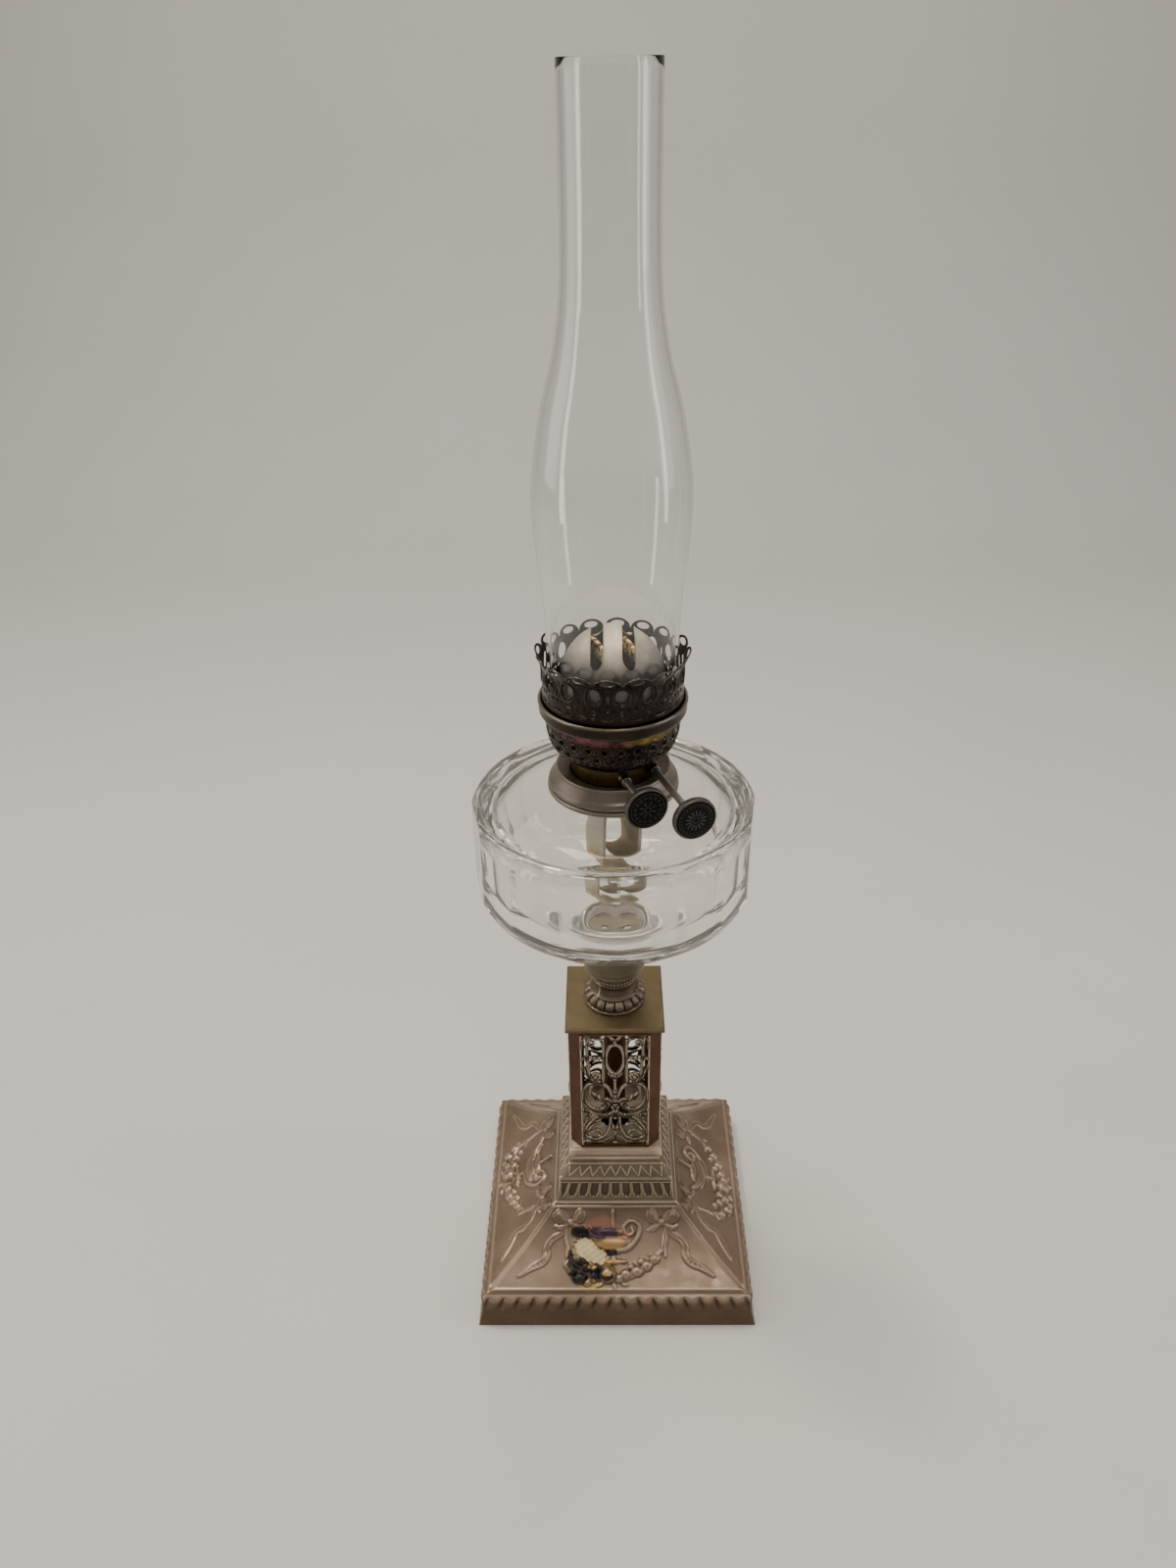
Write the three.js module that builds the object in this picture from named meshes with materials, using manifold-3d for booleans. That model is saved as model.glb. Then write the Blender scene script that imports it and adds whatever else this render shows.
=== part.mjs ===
// A duplex table oil lamp: a square brass stand, a faceted glass font, a two-wick
// burner and a tall glass chimney. Millimetres, +Z up. The origin is the centre of
// the foot, on the surface that the lamp stands on. -Y is the front.
import * as THREE from "three";
import { mergeVertices } from "three/addons/utils/BufferGeometryUtils.js";
import Module from "manifold-3d";

const wasm = await Module();
wasm.setup();

// ---- Driving dimensions ----------------------------------------------------

const BASE_HALF = 77.5; // half of the square foot's side
const BASE_EDGE_Z = 22; // top edge of the foot's gadrooned rim
const BASE_EDGE_HALF = 71.8;
const PYRAMID_TOP_Z = 49.3;
const PYRAMID_TOP_HALF = 36;
const SHELL = 1.4; // thickness of the pressed brass foot
const GAP = 0.3; // between pieces that rest on or in each other

const PLINTH_TOP_Z = 77;
const COLUMN_Z = [84.6, 171];
const COLUMN_HALF = 24.8;
const COLUMN_CHAMFER = 6.1;
const COLUMN_WALL = 1.6;
const WINDOW_HALF = 17.9;
const WINDOW_MARGIN = 2.4; // solid edge above and below each window
const FRET_THICKNESS = 1.4;
const CAP_HALF = 26.3;
const CAP_TOP_Z = 174.1;
const ROD_RADIUS = 3;

const FONT_FACETS = 16;
const FONT_FACET_TURN = 1.5; // degrees that a facet edge stands right of the front
const FONT_RADIUS = 69.3;
const FONT_WALL_Z = [257, 297.5];
const COLLAR_Z = 308.8;
const COLLAR_RADIUS = 31.6;
const COLLAR_BORE = 18.9;
const COLLAR_TOP_Z = 316.3;
const UNDERMOUNT_BORE = 20.7;

const BURNER_TURN = 20.2; // degrees that the burner stands right of the front
const WICK_WIDTH = 24.5;
const WICK_THICKNESS = 2;
const WICK_TOP_Z = 383;
const TUBE_WALL = 0.7;
const TUBE_SLACK = 0.4; // between a wick and its tube, on each side
const TUBE_Z = [312, 379];
const SHAFT_Z = 324;
const WICK_OFFSET = 8.2; // each wick's distance from the axis at the shafts
const WICK_LEAN = 1.48; // degrees that each wick leans inwards
const SHAFT_OFFSET = 5.5; // each shaft's distance from its wick
const SHAFT_RADIUS = 1.6;
const SHAFT_INNER_END = 8;
const WHEEL_RADIUS = 4.3;
const WHEEL_TEETH = 12;
const WHEEL_THICKNESS = 1.6;
const WHEEL_SPREAD = 5.5; // each wheel's distance from the middle of its wick
const KNOB_RADIUS = 10.15;
const KNOB_DEPTH = 6;
const FOOT_RADIUS = 20.3;
const FOOT_Z = [317.2, 329.1];

const BAND_RADIUS = 34.8;
const CROWN_RADIUS = 32.8;
const CROWN_WALL = 0.7;
const CROWN_TEETH = 16;
const CROWN_TURN = 5.6; // degrees that a tooth stands right of the front
const SEAT_Z = 357.5; // the ledge that the chimney stands on
const DOME_RADIUS = 23.4;
const DOME_CENTRE_Z = 367;
const DOME_WALL = 0.8;
const SLOT_OFFSET = 6.6;
const SLOT_WIDTH = 5.7;
const SLOT_HALF_LENGTH = 19;
const CHIMNEY_TOP_Z = 610;
const CHIMNEY_WALL = 1.6;

const ROUND = 24; // sides of a round piece

// Each side's wick, shaft and knob: the sign of its offset and how far its knob
// face stands out from the lamp's axis.
const SIDES = [
  { name: "left", sign: -1, knob: 50.7 },
  { name: "right", sign: 1, knob: 66.2 },
];

// ---- Materials -------------------------------------------------------------

function metal(color, roughness) {
  return new THREE.MeshStandardMaterial({ color, roughness, metalness: 1 });
}

function matt(color, roughness) {
  return new THREE.MeshStandardMaterial({ color, roughness, metalness: 0 });
}

const MATERIALS = {
  bronze: metal(0x7d6e5c, 0.45),
  olive: metal(0x6d6448, 0.4),
  brown: metal(0x6b4429, 0.35),
  burner: metal(0x5a5148, 0.4),
  dome: metal(0xa39a8f, 0.5),
  collar: metal(0x7b736a, 0.42),
  steel: metal(0x8a8a88, 0.4),
  black: matt(0x0c0c0c, 0.35),
  plaster: matt(0xd9cc9f, 0.9),
  felt: matt(0x2f3b2c, 0.95),
  cotton: matt(0xc9b184, 0.95),
  glass: new THREE.MeshStandardMaterial({
    color: 0xf2f4ee,
    roughness: 0.03,
    metalness: 0,
    transparent: true,
    opacity: 0.25,
  }),
};

// ---- Geometry helpers ------------------------------------------------------

// Turns a profile of [radius, z] points about the Z axis.
function turned(profile, sides = ROUND, turnDegrees = 0) {
  const points = profile.map(([r, z]) => new THREE.Vector2(r, z));
  const clockwise = THREE.ShapeUtils.area(points) < 0;
  if (clockwise) points.reverse();
  if (profile[0][0] > 0) points.push(points[0].clone());
  const start = THREE.MathUtils.degToRad(turnDegrees);
  return new THREE.LatheGeometry(points, sides, start).rotateX(Math.PI / 2);
}

// Turns a profile of [half side, z] points into a square piece.
function squared(profile) {
  const corners = profile.map(([half, z]) => [half * Math.SQRT2, z]);
  return turned(corners, 4, 45);
}

// A flat shape in the XY plane, from z0 up to z1.
function plate(shape, z0, z1) {
  const options = { depth: z1 - z0, bevelEnabled: false, curveSegments: 4 };
  return new THREE.ExtrudeGeometry(shape, options).translate(0, 0, z0);
}

function polygon(points) {
  return new THREE.Shape(points.map(([x, y]) => new THREE.Vector2(x, y)));
}

function box(x0, x1, y0, y1, z0, z1) {
  const made = new THREE.BoxGeometry(x1 - x0, y1 - y0, z1 - z0);
  return made.translate((x0 + x1) / 2, (y0 + y1) / 2, (z0 + z1) / 2);
}

function cylinder(radius, z0, z1, sides = ROUND) {
  return turned([[0, z0], [radius, z0], [radius, z1], [0, z1]], sides);
}

function solid(geometry) {
  const bare = geometry.clone();
  bare.deleteAttribute("normal");
  bare.deleteAttribute("uv");
  const merged = mergeVertices(bare, 1e-3);
  const mesh = new wasm.Mesh({
    numProp: 3,
    vertProperties: new Float32Array(merged.attributes.position.array),
    triVerts: new Uint32Array(merged.index.array),
  });
  return new wasm.Manifold(mesh);
}

function geometryOf(manifold) {
  const mesh = manifold.getMesh();
  const made = new THREE.BufferGeometry();
  made.setAttribute("position", new THREE.BufferAttribute(mesh.vertProperties, 3));
  made.setIndex(new THREE.BufferAttribute(mesh.triVerts, 1));
  made.computeVertexNormals();
  return made;
}

function cut(geometry, ...tools) {
  const left = tools.reduce((rest, tool) => rest.subtract(solid(tool)), solid(geometry));
  return geometryOf(left);
}

// A prism with its axis along the radius that stands turn radians right of the
// front, centred at height z. Outline points are [across, up].
function radialPrism(outline, z, turn, inner, outer) {
  const made = plate(polygon(outline), inner, outer);
  return made.rotateX(Math.PI / 2).rotateZ(turn).translate(0, 0, z);
}

function regularOutline(radiusX, radiusY, sides) {
  return Array.from({ length: sides }, (_, i) => {
    const a = (i / sides) * 2 * Math.PI;
    return [radiusX * Math.cos(a), radiusY * Math.sin(a)];
  });
}

function around(count, turnDegrees, make) {
  return Array.from({ length: count }, (_, i) => {
    return make(THREE.MathUtils.degToRad(turnDegrees + (i * 360) / count), i);
  });
}

const lamp = new THREE.Group();
const burnerGroup = new THREE.Group();
burnerGroup.rotation.z = THREE.MathUtils.degToRad(BURNER_TURN);
lamp.add(burnerGroup);

function add(name, geometry, material, parent = lamp) {
  const mesh = new THREE.Mesh(geometry, MATERIALS[material]);
  mesh.name = name;
  parent.add(mesh);
  return mesh;
}

// ---- Foot ------------------------------------------------------------------

// The pressed foot: a flared skirt, a gadrooned rim and a hollow-sided pyramid.
function baseShell() {
  const outer = [
    [BASE_HALF, 0],
    [75.6, 8],
    [74.6, 14],
    [74.6, 20],
    [BASE_EDGE_HALF, BASE_EDGE_Z],
    [54, 33.6],
    [PYRAMID_TOP_HALF, PYRAMID_TOP_Z],
    [29, PYRAMID_TOP_Z],
  ];
  const inner = outer.map(([half, z]) => [half - SHELL, Math.max(0, z - SHELL)]);
  inner[0] = [BASE_HALF - SHELL, 0];
  inner[inner.length - 1] = [29, PYRAMID_TOP_Z - SHELL];
  return squared([...outer, ...inner.reverse()]);
}

// Plaster poured into the foot to weigh it down, with a pocket for the nut.
function baseFilling() {
  const block = squared([
    [0, 1.6],
    [BASE_HALF - SHELL - 1.2, 1.6],
    [72.4, 14],
    [72.4, 18],
    [69.2, BASE_EDGE_Z - 2.6],
    [52.4, 31.2],
    [PYRAMID_TOP_HALF - 3, PYRAMID_TOP_Z - 3],
    [0, PYRAMID_TOP_Z - 3],
  ]);
  const pocket = cylinder(14, 0, 10, 16);
  const rodHole = cylinder(ROD_RADIUS + 1, 5, 60, 16);
  return cut(block, pocket, rodHole);
}

add("base_shell", baseShell(), "bronze");
add("base_filling", baseFilling(), "plaster");
add("felt_pad", squared([[0, 0], [75.4, 0], [75.4, 1.3], [0, 1.3]]), "felt");

// ---- Tie rod that holds the stand together ---------------------------------

const ROD_Z = [3.2, 198.6];
const NUT_Z = [5, 9.4];

function ring(inner, outer, z0, z1, sides = ROUND) {
  return turned([[outer, z0], [outer, z1], [inner, z1], [inner, z0]], sides);
}

function nut() {
  const outline = polygon(regularOutline(5.6, 5.6, 6));
  const bore = cylinder(ROD_RADIUS + GAP, 0, 20, 16);
  return cut(plate(outline, ...NUT_Z), bore);
}

add("tie_rod", cylinder(ROD_RADIUS, ...ROD_Z, 16), "steel");
add("tie_rod_nut", nut(), "steel");
add("tie_rod_washer", ring(ROD_RADIUS + GAP, 13, NUT_Z[1] + 0.1, 9.9, 16), "steel");
add("rod_sleeve", ring(ROD_RADIUS + GAP, 6, 78, COLUMN_Z[1] - 0.5, 16), "bronze");

// ---- Plinth and column -----------------------------------------------------

// The stepped block between foot and column: bead, fluted frieze, sloped band.
function plinthBlock() {
  const bottom = PYRAMID_TOP_Z + GAP;
  return squared([
    [34.6, bottom],
    [34.6, 50.6],
    [33.2, 51.6],
    [33, 52.9],
    [31, 57],
    [30.8, 63.6],
    [31.8, 65.2],
    [31.8, 66.9],
    [26.2, 73.2],
    [25, 74.2],
    [25, PLINTH_TOP_Z],
    [8, PLINTH_TOP_Z],
    [8, PLINTH_TOP_Z - 3],
    [22.5, PLINTH_TOP_Z - 4],
    [28.5, 63],
    [28.5, bottom],
  ]);
}

// A square torus moulding that the column stands on.
function columnFoot() {
  const z0 = PLINTH_TOP_Z + GAP;
  const z1 = COLUMN_Z[0] - GAP;
  const bulge = Array.from({ length: 5 }, (_, i) => {
    const a = (i / 4 - 0.5) * Math.PI;
    return [24.6 + 1.6 * Math.cos(a), (z0 + z1 - 1) / 2 + ((z1 - z0 - 1) / 2) * Math.sin(a)];
  });
  return squared([[8, z0], ...bulge, [24.2, z1], [8, z1]]);
}

function octagon(half, chamfer) {
  const inner = half - chamfer;
  const quarter = [[half, -inner], [half, inner]];
  return [0, 1, 2, 3].flatMap((turn) =>
    quarter.map(([x, y]) => {
      const a = (turn * Math.PI) / 2;
      return [x * Math.cos(a) - y * Math.sin(a), x * Math.sin(a) + y * Math.cos(a)];
    }),
  );
}

// The casing: a square tube with chamfered corners and a window in each face.
function columnCasing() {
  const shape = polygon(octagon(COLUMN_HALF, COLUMN_CHAMFER));
  const inside = octagon(COLUMN_HALF - COLUMN_WALL, COLUMN_CHAMFER - COLUMN_WALL * 0.4);
  shape.holes.push(polygon(inside));
  const tube = plate(shape, ...COLUMN_Z);
  const z0 = COLUMN_Z[0] + WINDOW_MARGIN;
  const z1 = COLUMN_Z[1] - WINDOW_MARGIN;
  const reach = COLUMN_HALF + 5;
  const along = box(-WINDOW_HALF, WINDOW_HALF, -reach, reach, z0, z1);
  const across = box(-reach, reach, -WINDOW_HALF, WINDOW_HALF, z0, z1);
  return cut(tube, along, across);
}

// A pierced panel: scroll openings through a thin plate. Each opening is
// [x, height above the panel's middle, half width, half height].
const FRET_OPENINGS = [
  [0, 24, 4.6, 8.6],
  [-11, 30, 3.2, 4.4],
  [11, 30, 3.2, 4.4],
  [-11, 18, 3, 4.6],
  [11, 18, 3, 4.6],
  [-8.5, -1, 5, 4.6],
  [8.5, -1, 5, 4.6],
  [-7.5, -26, 4.6, 4.4],
  [7.5, -26, 4.6, 4.4],
  [0, -20, 1.8, 4],
];

function fretPanel() {
  const half = WINDOW_HALF - GAP;
  const tall = (COLUMN_Z[1] - COLUMN_Z[0]) / 2 - WINDOW_MARGIN - GAP;
  const shape = polygon([[-half, -tall], [half, -tall], [half, tall], [-half, tall]]);
  for (const [x, y, rx, ry] of FRET_OPENINGS) {
    const hole = regularOutline(rx, ry, 8).map(([u, v]) => [x + u, y + v]);
    shape.holes.push(polygon(hole));
  }
  const front = COLUMN_HALF - 0.1;
  const middle = (COLUMN_Z[0] + COLUMN_Z[1]) / 2;
  return plate(shape, front - FRET_THICKNESS, front)
    .rotateX(Math.PI / 2)
    .translate(0, 0, middle);
}

add("plinth_block", plinthBlock(), "bronze");
add("column_foot", columnFoot(), "bronze");
add("column_casing", columnCasing(), "brown");
["front", "right", "back", "left"].forEach((name, i) => {
  add(`fret_panel_${name}`, fretPanel().rotateZ((i * Math.PI) / 2), "bronze");
});

function columnCap() {
  const z0 = COLUMN_Z[1] + GAP;
  return squared([
    [4, z0],
    [CAP_HALF - 0.3, z0],
    [CAP_HALF, z0 + 0.5],
    [CAP_HALF, CAP_TOP_Z - 0.7],
    [CAP_HALF - 0.7, CAP_TOP_Z],
    [4, CAP_TOP_Z],
  ]);
}

add("column_cap", columnCap(), "olive");

// ---- Neck that carries the font --------------------------------------------

const NECK_BORE = ROD_RADIUS + GAP;

function gadroonCollar() {
  const z0 = CAP_TOP_Z + GAP;
  return turned([
    [NECK_BORE, z0],
    [14.6, z0],
    [16.6, z0 + 2],
    [16.4, z0 + 4],
    [14.2, z0 + 5.8],
    [NECK_BORE, z0 + 5.8],
  ], 32);
}

function beadedNeck() {
  return turned([
    [NECK_BORE, 180.5],
    [13, 180.5],
    [11.8, 182.2],
    [10.9, 186],
    [11.4, 189.4],
    [12.6, 190.2],
    [12.6, 192.4],
    [11, 193.4],
    [10.8, 195],
    [NECK_BORE, 195],
  ]);
}

function fontCup() {
  return turned([
    [NECK_BORE, 195.3],
    [12, 195.3],
    [16.2, 197.4],
    [16.6, 199],
    [17, 208],
    [18.6, 214.6],
    [17.2, 214.8],
    [16, 210],
    [16, 200.2],
    [NECK_BORE, 200.2],
  ]);
}

add("gadroon_collar", gadroonCollar(), "bronze");
add("beaded_neck", beadedNeck(), "bronze");
add("font_cup", fontCup(), "olive");

// ---- Font ------------------------------------------------------------------

// Thick pressed glass: a peg below, a faceted wall and a low shoulder.
function glassFont() {
  const outer = [
    [0, 200.8],
    [15.6, 200.8],
    [15.6, 213],
    [19, 219.4],
    [30, 226.5],
    [45, 236],
    [58, 243.5],
    [66, 249.2],
    [FONT_RADIUS, FONT_WALL_Z[0]],
    [FONT_RADIUS - 0.4, FONT_WALL_Z[1]],
    [68.4, 301.2],
    [66.6, 302.3],
    [64.6, 301.2],
    [60, 301.4],
    [45, 304.2],
    [33, 307.2],
    [24.6, 308.2],
    [24.6, 312.6],
  ];
  const inner = [
    [20.8, 312.6],
    [20.8, 304.6],
    [30, 303.2],
    [50, 298.6],
    [58.5, 295],
    [61, 289],
    [60.5, 266],
    [57, 254.5],
    [48, 245.5],
    [34, 239.5],
    [18, 237],
    [0, 236.5],
  ];
  return turned([...outer, ...inner], FONT_FACETS, 90 + FONT_FACET_TURN);
}

// The brass collar cemented round the glass neck; the undermount screws on to it.
function fontCollar() {
  return turned([
    [COLLAR_RADIUS, COLLAR_Z],
    [COLLAR_RADIUS, 311.2],
    [26, 311.4],
    [26, COLLAR_TOP_Z],
    [COLLAR_BORE, COLLAR_TOP_Z],
    [COLLAR_BORE, 304],
    [20.3, 304],
    [20.3, 313],
    [25, 313],
    [25, COLLAR_Z],
  ]);
}

add("glass_font", glassFont(), "glass");
add("font_collar", fontCollar(), "collar");

// ---- Undermount: the drum that the burner stands in ------------------------

function undermount() {
  return turned([
    [31.2, 311.6],
    [31.1, 313.9],
    [30.4, 315],
    [28.6, 317.6],
    [27.5, 319.4],
    [27.4, 320.9],
    [26.4, 321],
    [25.6, 320.2],
    [UNDERMOUNT_BORE, 318.8],
    [UNDERMOUNT_BORE, 316.7],
    [26.4, 316.7],
    [28.2, 314.4],
    [29, 311.6],
  ]);
}

add("undermount", undermount(), "collar");

// ---- Burner ----------------------------------------------------------------

function shaftX(sign) {
  return sign * WICK_OFFSET + SHAFT_OFFSET;
}

// A piece turned about a line along the burner's -Y. Profile points are
// [radius, distance out from the lamp's axis].
function onShaft(profile, sign, sides) {
  return turned(profile, sides).rotateX(Math.PI / 2).translate(shaftX(sign), 0, SHAFT_Z);
}

function shaftHole(sign, radius) {
  return onShaft([[0, 5], [radius, 5], [radius, 40], [0, 40]], sign, 12);
}

// The short cylinder that drops into the undermount, drilled for the shafts.
function burnerFoot() {
  const wall = ring(FOOT_RADIUS - 0.7, FOOT_RADIUS, ...FOOT_Z);
  return cut(wall, ...SIDES.map(({ sign }) => shaftHole(sign, SHAFT_RADIUS + GAP)));
}

function tubeHalfSize() {
  const slack = TUBE_SLACK + TUBE_WALL;
  return [WICK_THICKNESS / 2 + slack, WICK_WIDTH / 2 + slack];
}

// The floor of the burner, which the wick tubes pass through.
function tubePlate() {
  const z0 = FOOT_Z[1] + GAP;
  const z1 = z0 + 1.2;
  const [halfX, halfY] = tubeHalfSize().map((half) => half + 0.5);
  const slots = SIDES.map(({ sign }) => {
    const x = sign * WICK_OFFSET;
    return box(x - halfX, x + halfX, -halfY, halfY, z0 - 1, z1 + 1);
  });
  return cut(cylinder(FOOT_RADIUS, z0, z1), ...slots);
}

// The pierced bowl that lets air in below the flame.
function burnerBowl() {
  const outer = [
    [21.6, 327.4],
    [26.6, 331.2],
    [29.6, 335.6],
    [31.4, 342.6],
    [31.5, 350],
  ];
  const inner = outer.map(([r, z]) => [r - 0.9, z + 0.25]).reverse();
  inner[0][1] = 350;
  inner[inner.length - 1][1] = 327.4;
  const rows = [[337.6, 0], [343.4, 15]];
  const holes = rows.flatMap(([z, turn]) =>
    around(12, turn, (a) => radialPrism(regularOutline(3, 2.6, 4), z, a, 20, 40)),
  );
  return cut(turned([...outer, ...inner], 24, 7.5), ...holes);
}

add("burner_foot", burnerFoot(), "burner", burnerGroup);
add("tube_plate", tubePlate(), "burner", burnerGroup);
add("burner_bowl", burnerBowl(), "burner", burnerGroup);

// A flat tube for one wick, with two windows for the winder wheels.
function wickTube() {
  const [halfX, halfY] = tubeHalfSize();
  const z0 = TUBE_Z[0] - SHAFT_Z;
  const z1 = TUBE_Z[1] - SHAFT_Z;
  const outside = box(-halfX, halfX, -halfY, halfY, z0, z1);
  const innerX = halfX - TUBE_WALL;
  const innerY = halfY - TUBE_WALL;
  const inside = box(-innerX, innerX, -innerY, innerY, z0 - 1, z1 + 1);
  const windows = [-WHEEL_SPREAD, WHEEL_SPREAD].map((y) => {
    const halfWidth = WHEEL_THICKNESS / 2 + 0.4;
    return box(0, halfX + 1, y - halfWidth, y + halfWidth, -4.6, 4.6);
  });
  return cut(outside, inside, ...windows);
}

// A strip of that thickness along a line of [x, z] points, as wide as a wick.
function strip(line, thickness) {
  const left = [];
  const right = [];
  line.forEach(([x, z], i) => {
    const [x0, z0] = line[Math.max(0, i - 1)];
    const [x1, z1] = line[Math.min(line.length - 1, i + 1)];
    const length = Math.hypot(x1 - x0, z1 - z0);
    const nx = (((z0 - z1) / length) * thickness) / 2;
    const nz = (((x1 - x0) / length) * thickness) / 2;
    left.push([x + nx, z + nz]);
    right.push([x - nx, z - nz]);
  });
  const outline = polygon([...left, ...right.reverse()]);
  return plate(outline, -WICK_WIDTH / 2, WICK_WIDTH / 2).rotateX(Math.PI / 2);
}

// A wick hangs into the font and curls inwards at its end. The left wick hangs
// lower, so that the two ends pass each other when they are wound up or down.
function wick(sign) {
  const lowest = sign < 0 ? 248 : 264;
  const bend = sign < 0 ? 8 : 7;
  const tail = sign < 0 ? 8 : 5;
  const turnZ = lowest + bend - SHAFT_Z;
  const curl = Array.from({ length: 7 }, (_, i) => {
    const a = (i / 6) * (Math.PI / 2);
    return [-sign * bend * (1 - Math.cos(a)), turnZ - bend * Math.sin(a)];
  });
  const end = [-sign * (bend + tail), lowest - SHAFT_Z + 1];
  return strip([[0, WICK_TOP_Z - SHAFT_Z], ...curl, end], WICK_THICKNESS);
}

function toothedWheel() {
  const points = Array.from({ length: WHEEL_TEETH * 2 }, (_, i) => {
    const radius = i % 2 ? WHEEL_RADIUS - 1.1 : WHEEL_RADIUS;
    const a = (i / (WHEEL_TEETH * 2)) * 2 * Math.PI;
    return [radius * Math.cos(a), radius * Math.sin(a)];
  });
  const shape = polygon(points);
  const boreRadius = SHAFT_RADIUS + GAP;
  shape.holes.push(polygon(regularOutline(boreRadius, boreRadius, 12)));
  const half = WHEEL_THICKNESS / 2;
  return plate(shape, -half, half).rotateX(Math.PI / 2);
}

function knob(face, sign) {
  const back = face - KNOB_DEPTH;
  return onShaft([
    [0, face - 1.2],
    [8.9, face - 1.2],
    [8.9, face],
    [9.6, face],
    [KNOB_RADIUS, face - 0.6],
    [KNOB_RADIUS, face - 3.4],
    [9.2, face - 4.4],
    [3.8, back + 0.8],
    [3.2, back],
    [SHAFT_RADIUS + GAP, back],
    [SHAFT_RADIUS + GAP, face - 2],
    [0, face - 2],
  ], sign, 24);
}

// A gland round each shaft where it leaves the foot, mitred to the foot's wall.
function gland(sign) {
  const start = Math.sqrt(FOOT_RADIUS ** 2 - shaftX(sign) ** 2) - 5;
  const end = start + 12;
  const inner = SHAFT_RADIUS + GAP;
  const tube = onShaft([[inner, start], [2.5, start], [2.5, end], [inner, end]], sign, 16);
  return cut(tube, cylinder(FOOT_RADIUS + GAP, 310, 340));
}

for (const { name, sign, knob: face } of SIDES) {
  const lean = new THREE.Group();
  lean.position.set(sign * WICK_OFFSET, 0, SHAFT_Z);
  lean.rotation.y = THREE.MathUtils.degToRad(-sign * WICK_LEAN);
  burnerGroup.add(lean);
  add(`wick_tube_${name}`, wickTube(), "burner", lean);
  add(`wick_${name}`, wick(sign), "cotton", lean);

  const shaftEnd = face - 2 - GAP;
  const shaft = onShaft(
    [[0, -SHAFT_INNER_END], [SHAFT_RADIUS, -SHAFT_INNER_END], [SHAFT_RADIUS, shaftEnd], [0, shaftEnd]],
    sign,
    12,
  );
  add(`winder_shaft_${name}`, shaft, "collar", burnerGroup);
  [-1, 1].forEach((end) => {
    const wheel = toothedWheel().translate(shaftX(sign), end * WHEEL_SPREAD, SHAFT_Z);
    const place = end < 0 ? "outer" : "inner";
    add(`winder_wheel_${name}_${place}`, wheel, "steel", burnerGroup);
  });
  add(`knob_${name}`, knob(face, sign), "collar", burnerGroup);
  const disc = [[0, face - 0.9], [8.6, face - 0.9], [8.6, face + 0.1], [0, face + 0.4]];
  add(`knob_disc_${name}`, onShaft(disc, sign, 24), "black", burnerGroup);
  add(`shaft_gland_${name}`, gland(sign), "burner", burnerGroup);
}

// ---- Gallery ---------------------------------------------------------------

// The rolled band that turns on the rim of the bowl.
function galleryBand() {
  return turned([
    [BAND_RADIUS, 351],
    [BAND_RADIUS, 355.6],
    [34.2, 356.9],
    [33.2, 357.1],
    [33.2, 352],
    [27.5, 352],
    [27.5, 350.6],
    [33.8, 350.2],
  ], 32);
}

// The pierced coronet: a flared tooth above each round eye, and a slot between
// each two eyes.
function galleryCrown() {
  const outer = [
    [CROWN_RADIUS, 352.4],
    [CROWN_RADIUS, 375],
    [35.1, 381],
  ];
  const inner = outer.map(([r, z]) => [r - CROWN_WALL, z]).reverse();
  const wall = turned([...outer, ...inner], 32, 90 + CROWN_TURN);
  const eye = regularOutline(3, 3, 6);
  const slot = [[-1.6, -3], [1.6, -3], [0, 3]];
  const notch = [[0, -2.6], [5.4, 9], [-5.4, 9]];
  const halfStep = 180 / CROWN_TEETH;
  const cuts = [
    ...around(CROWN_TEETH, CROWN_TURN, (a) => radialPrism(eye, 371, a, 26, 40)),
    ...around(CROWN_TEETH, CROWN_TURN + halfStep, (a) => radialPrism(slot, 363, a, 26, 40)),
    ...around(CROWN_TEETH, CROWN_TURN + halfStep, (a) => radialPrism(notch, 376.6, a, 26, 40)),
  ];
  return cut(wall, ...cuts);
}

// The ledge inside the crown, with a lip round its hole.
function chimneySeat() {
  return turned([
    [31.8, 356.3],
    [31.8, SEAT_Z],
    [25.6, SEAT_Z],
    [25.4, SEAT_Z + 1.4],
    [24.6, SEAT_Z + 1.4],
    [24.6, 356.3],
  ]);
}

function stadium(halfLength, width) {
  const r = width / 2;
  const ends = [1, -1].flatMap((side) =>
    Array.from({ length: 5 }, (_, i) => {
      const a = (i / 4) * Math.PI;
      return [side * r * Math.cos(a), side * (halfLength - r + r * Math.sin(a))];
    }),
  );
  return polygon(ends);
}

// The flame spreader: a hemisphere on a short skirt, with a slot for each wick.
function flameDome() {
  const steps = 5;
  const arc = (radius) =>
    Array.from({ length: steps + 1 }, (_, i) => {
      const a = ((steps - i) / steps) * (Math.PI / 2);
      return [i ? radius * Math.cos(a) : 0, DOME_CENTRE_Z + radius * Math.sin(a)];
    });
  const inner = DOME_RADIUS - DOME_WALL;
  const skirt = [[DOME_RADIUS + 0.8, 353], [DOME_RADIUS, 353]];
  const shell = turned([...arc(DOME_RADIUS), ...skirt, ...arc(inner).reverse()], ROUND);
  const slots = [-1, 1].map((side) => {
    const shape = stadium(SLOT_HALF_LENGTH, SLOT_WIDTH);
    return plate(shape, DOME_CENTRE_Z + 5, 400).translate(side * SLOT_OFFSET, 0, 0);
  });
  return cut(shell, ...slots);
}

add("gallery_band", galleryBand(), "burner");
add("gallery_crown", galleryCrown(), "burner");
add("chimney_seat", chimneySeat(), "burner");
add("flame_dome", flameDome(), "dome");

// ---- Chimney ---------------------------------------------------------------

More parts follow.
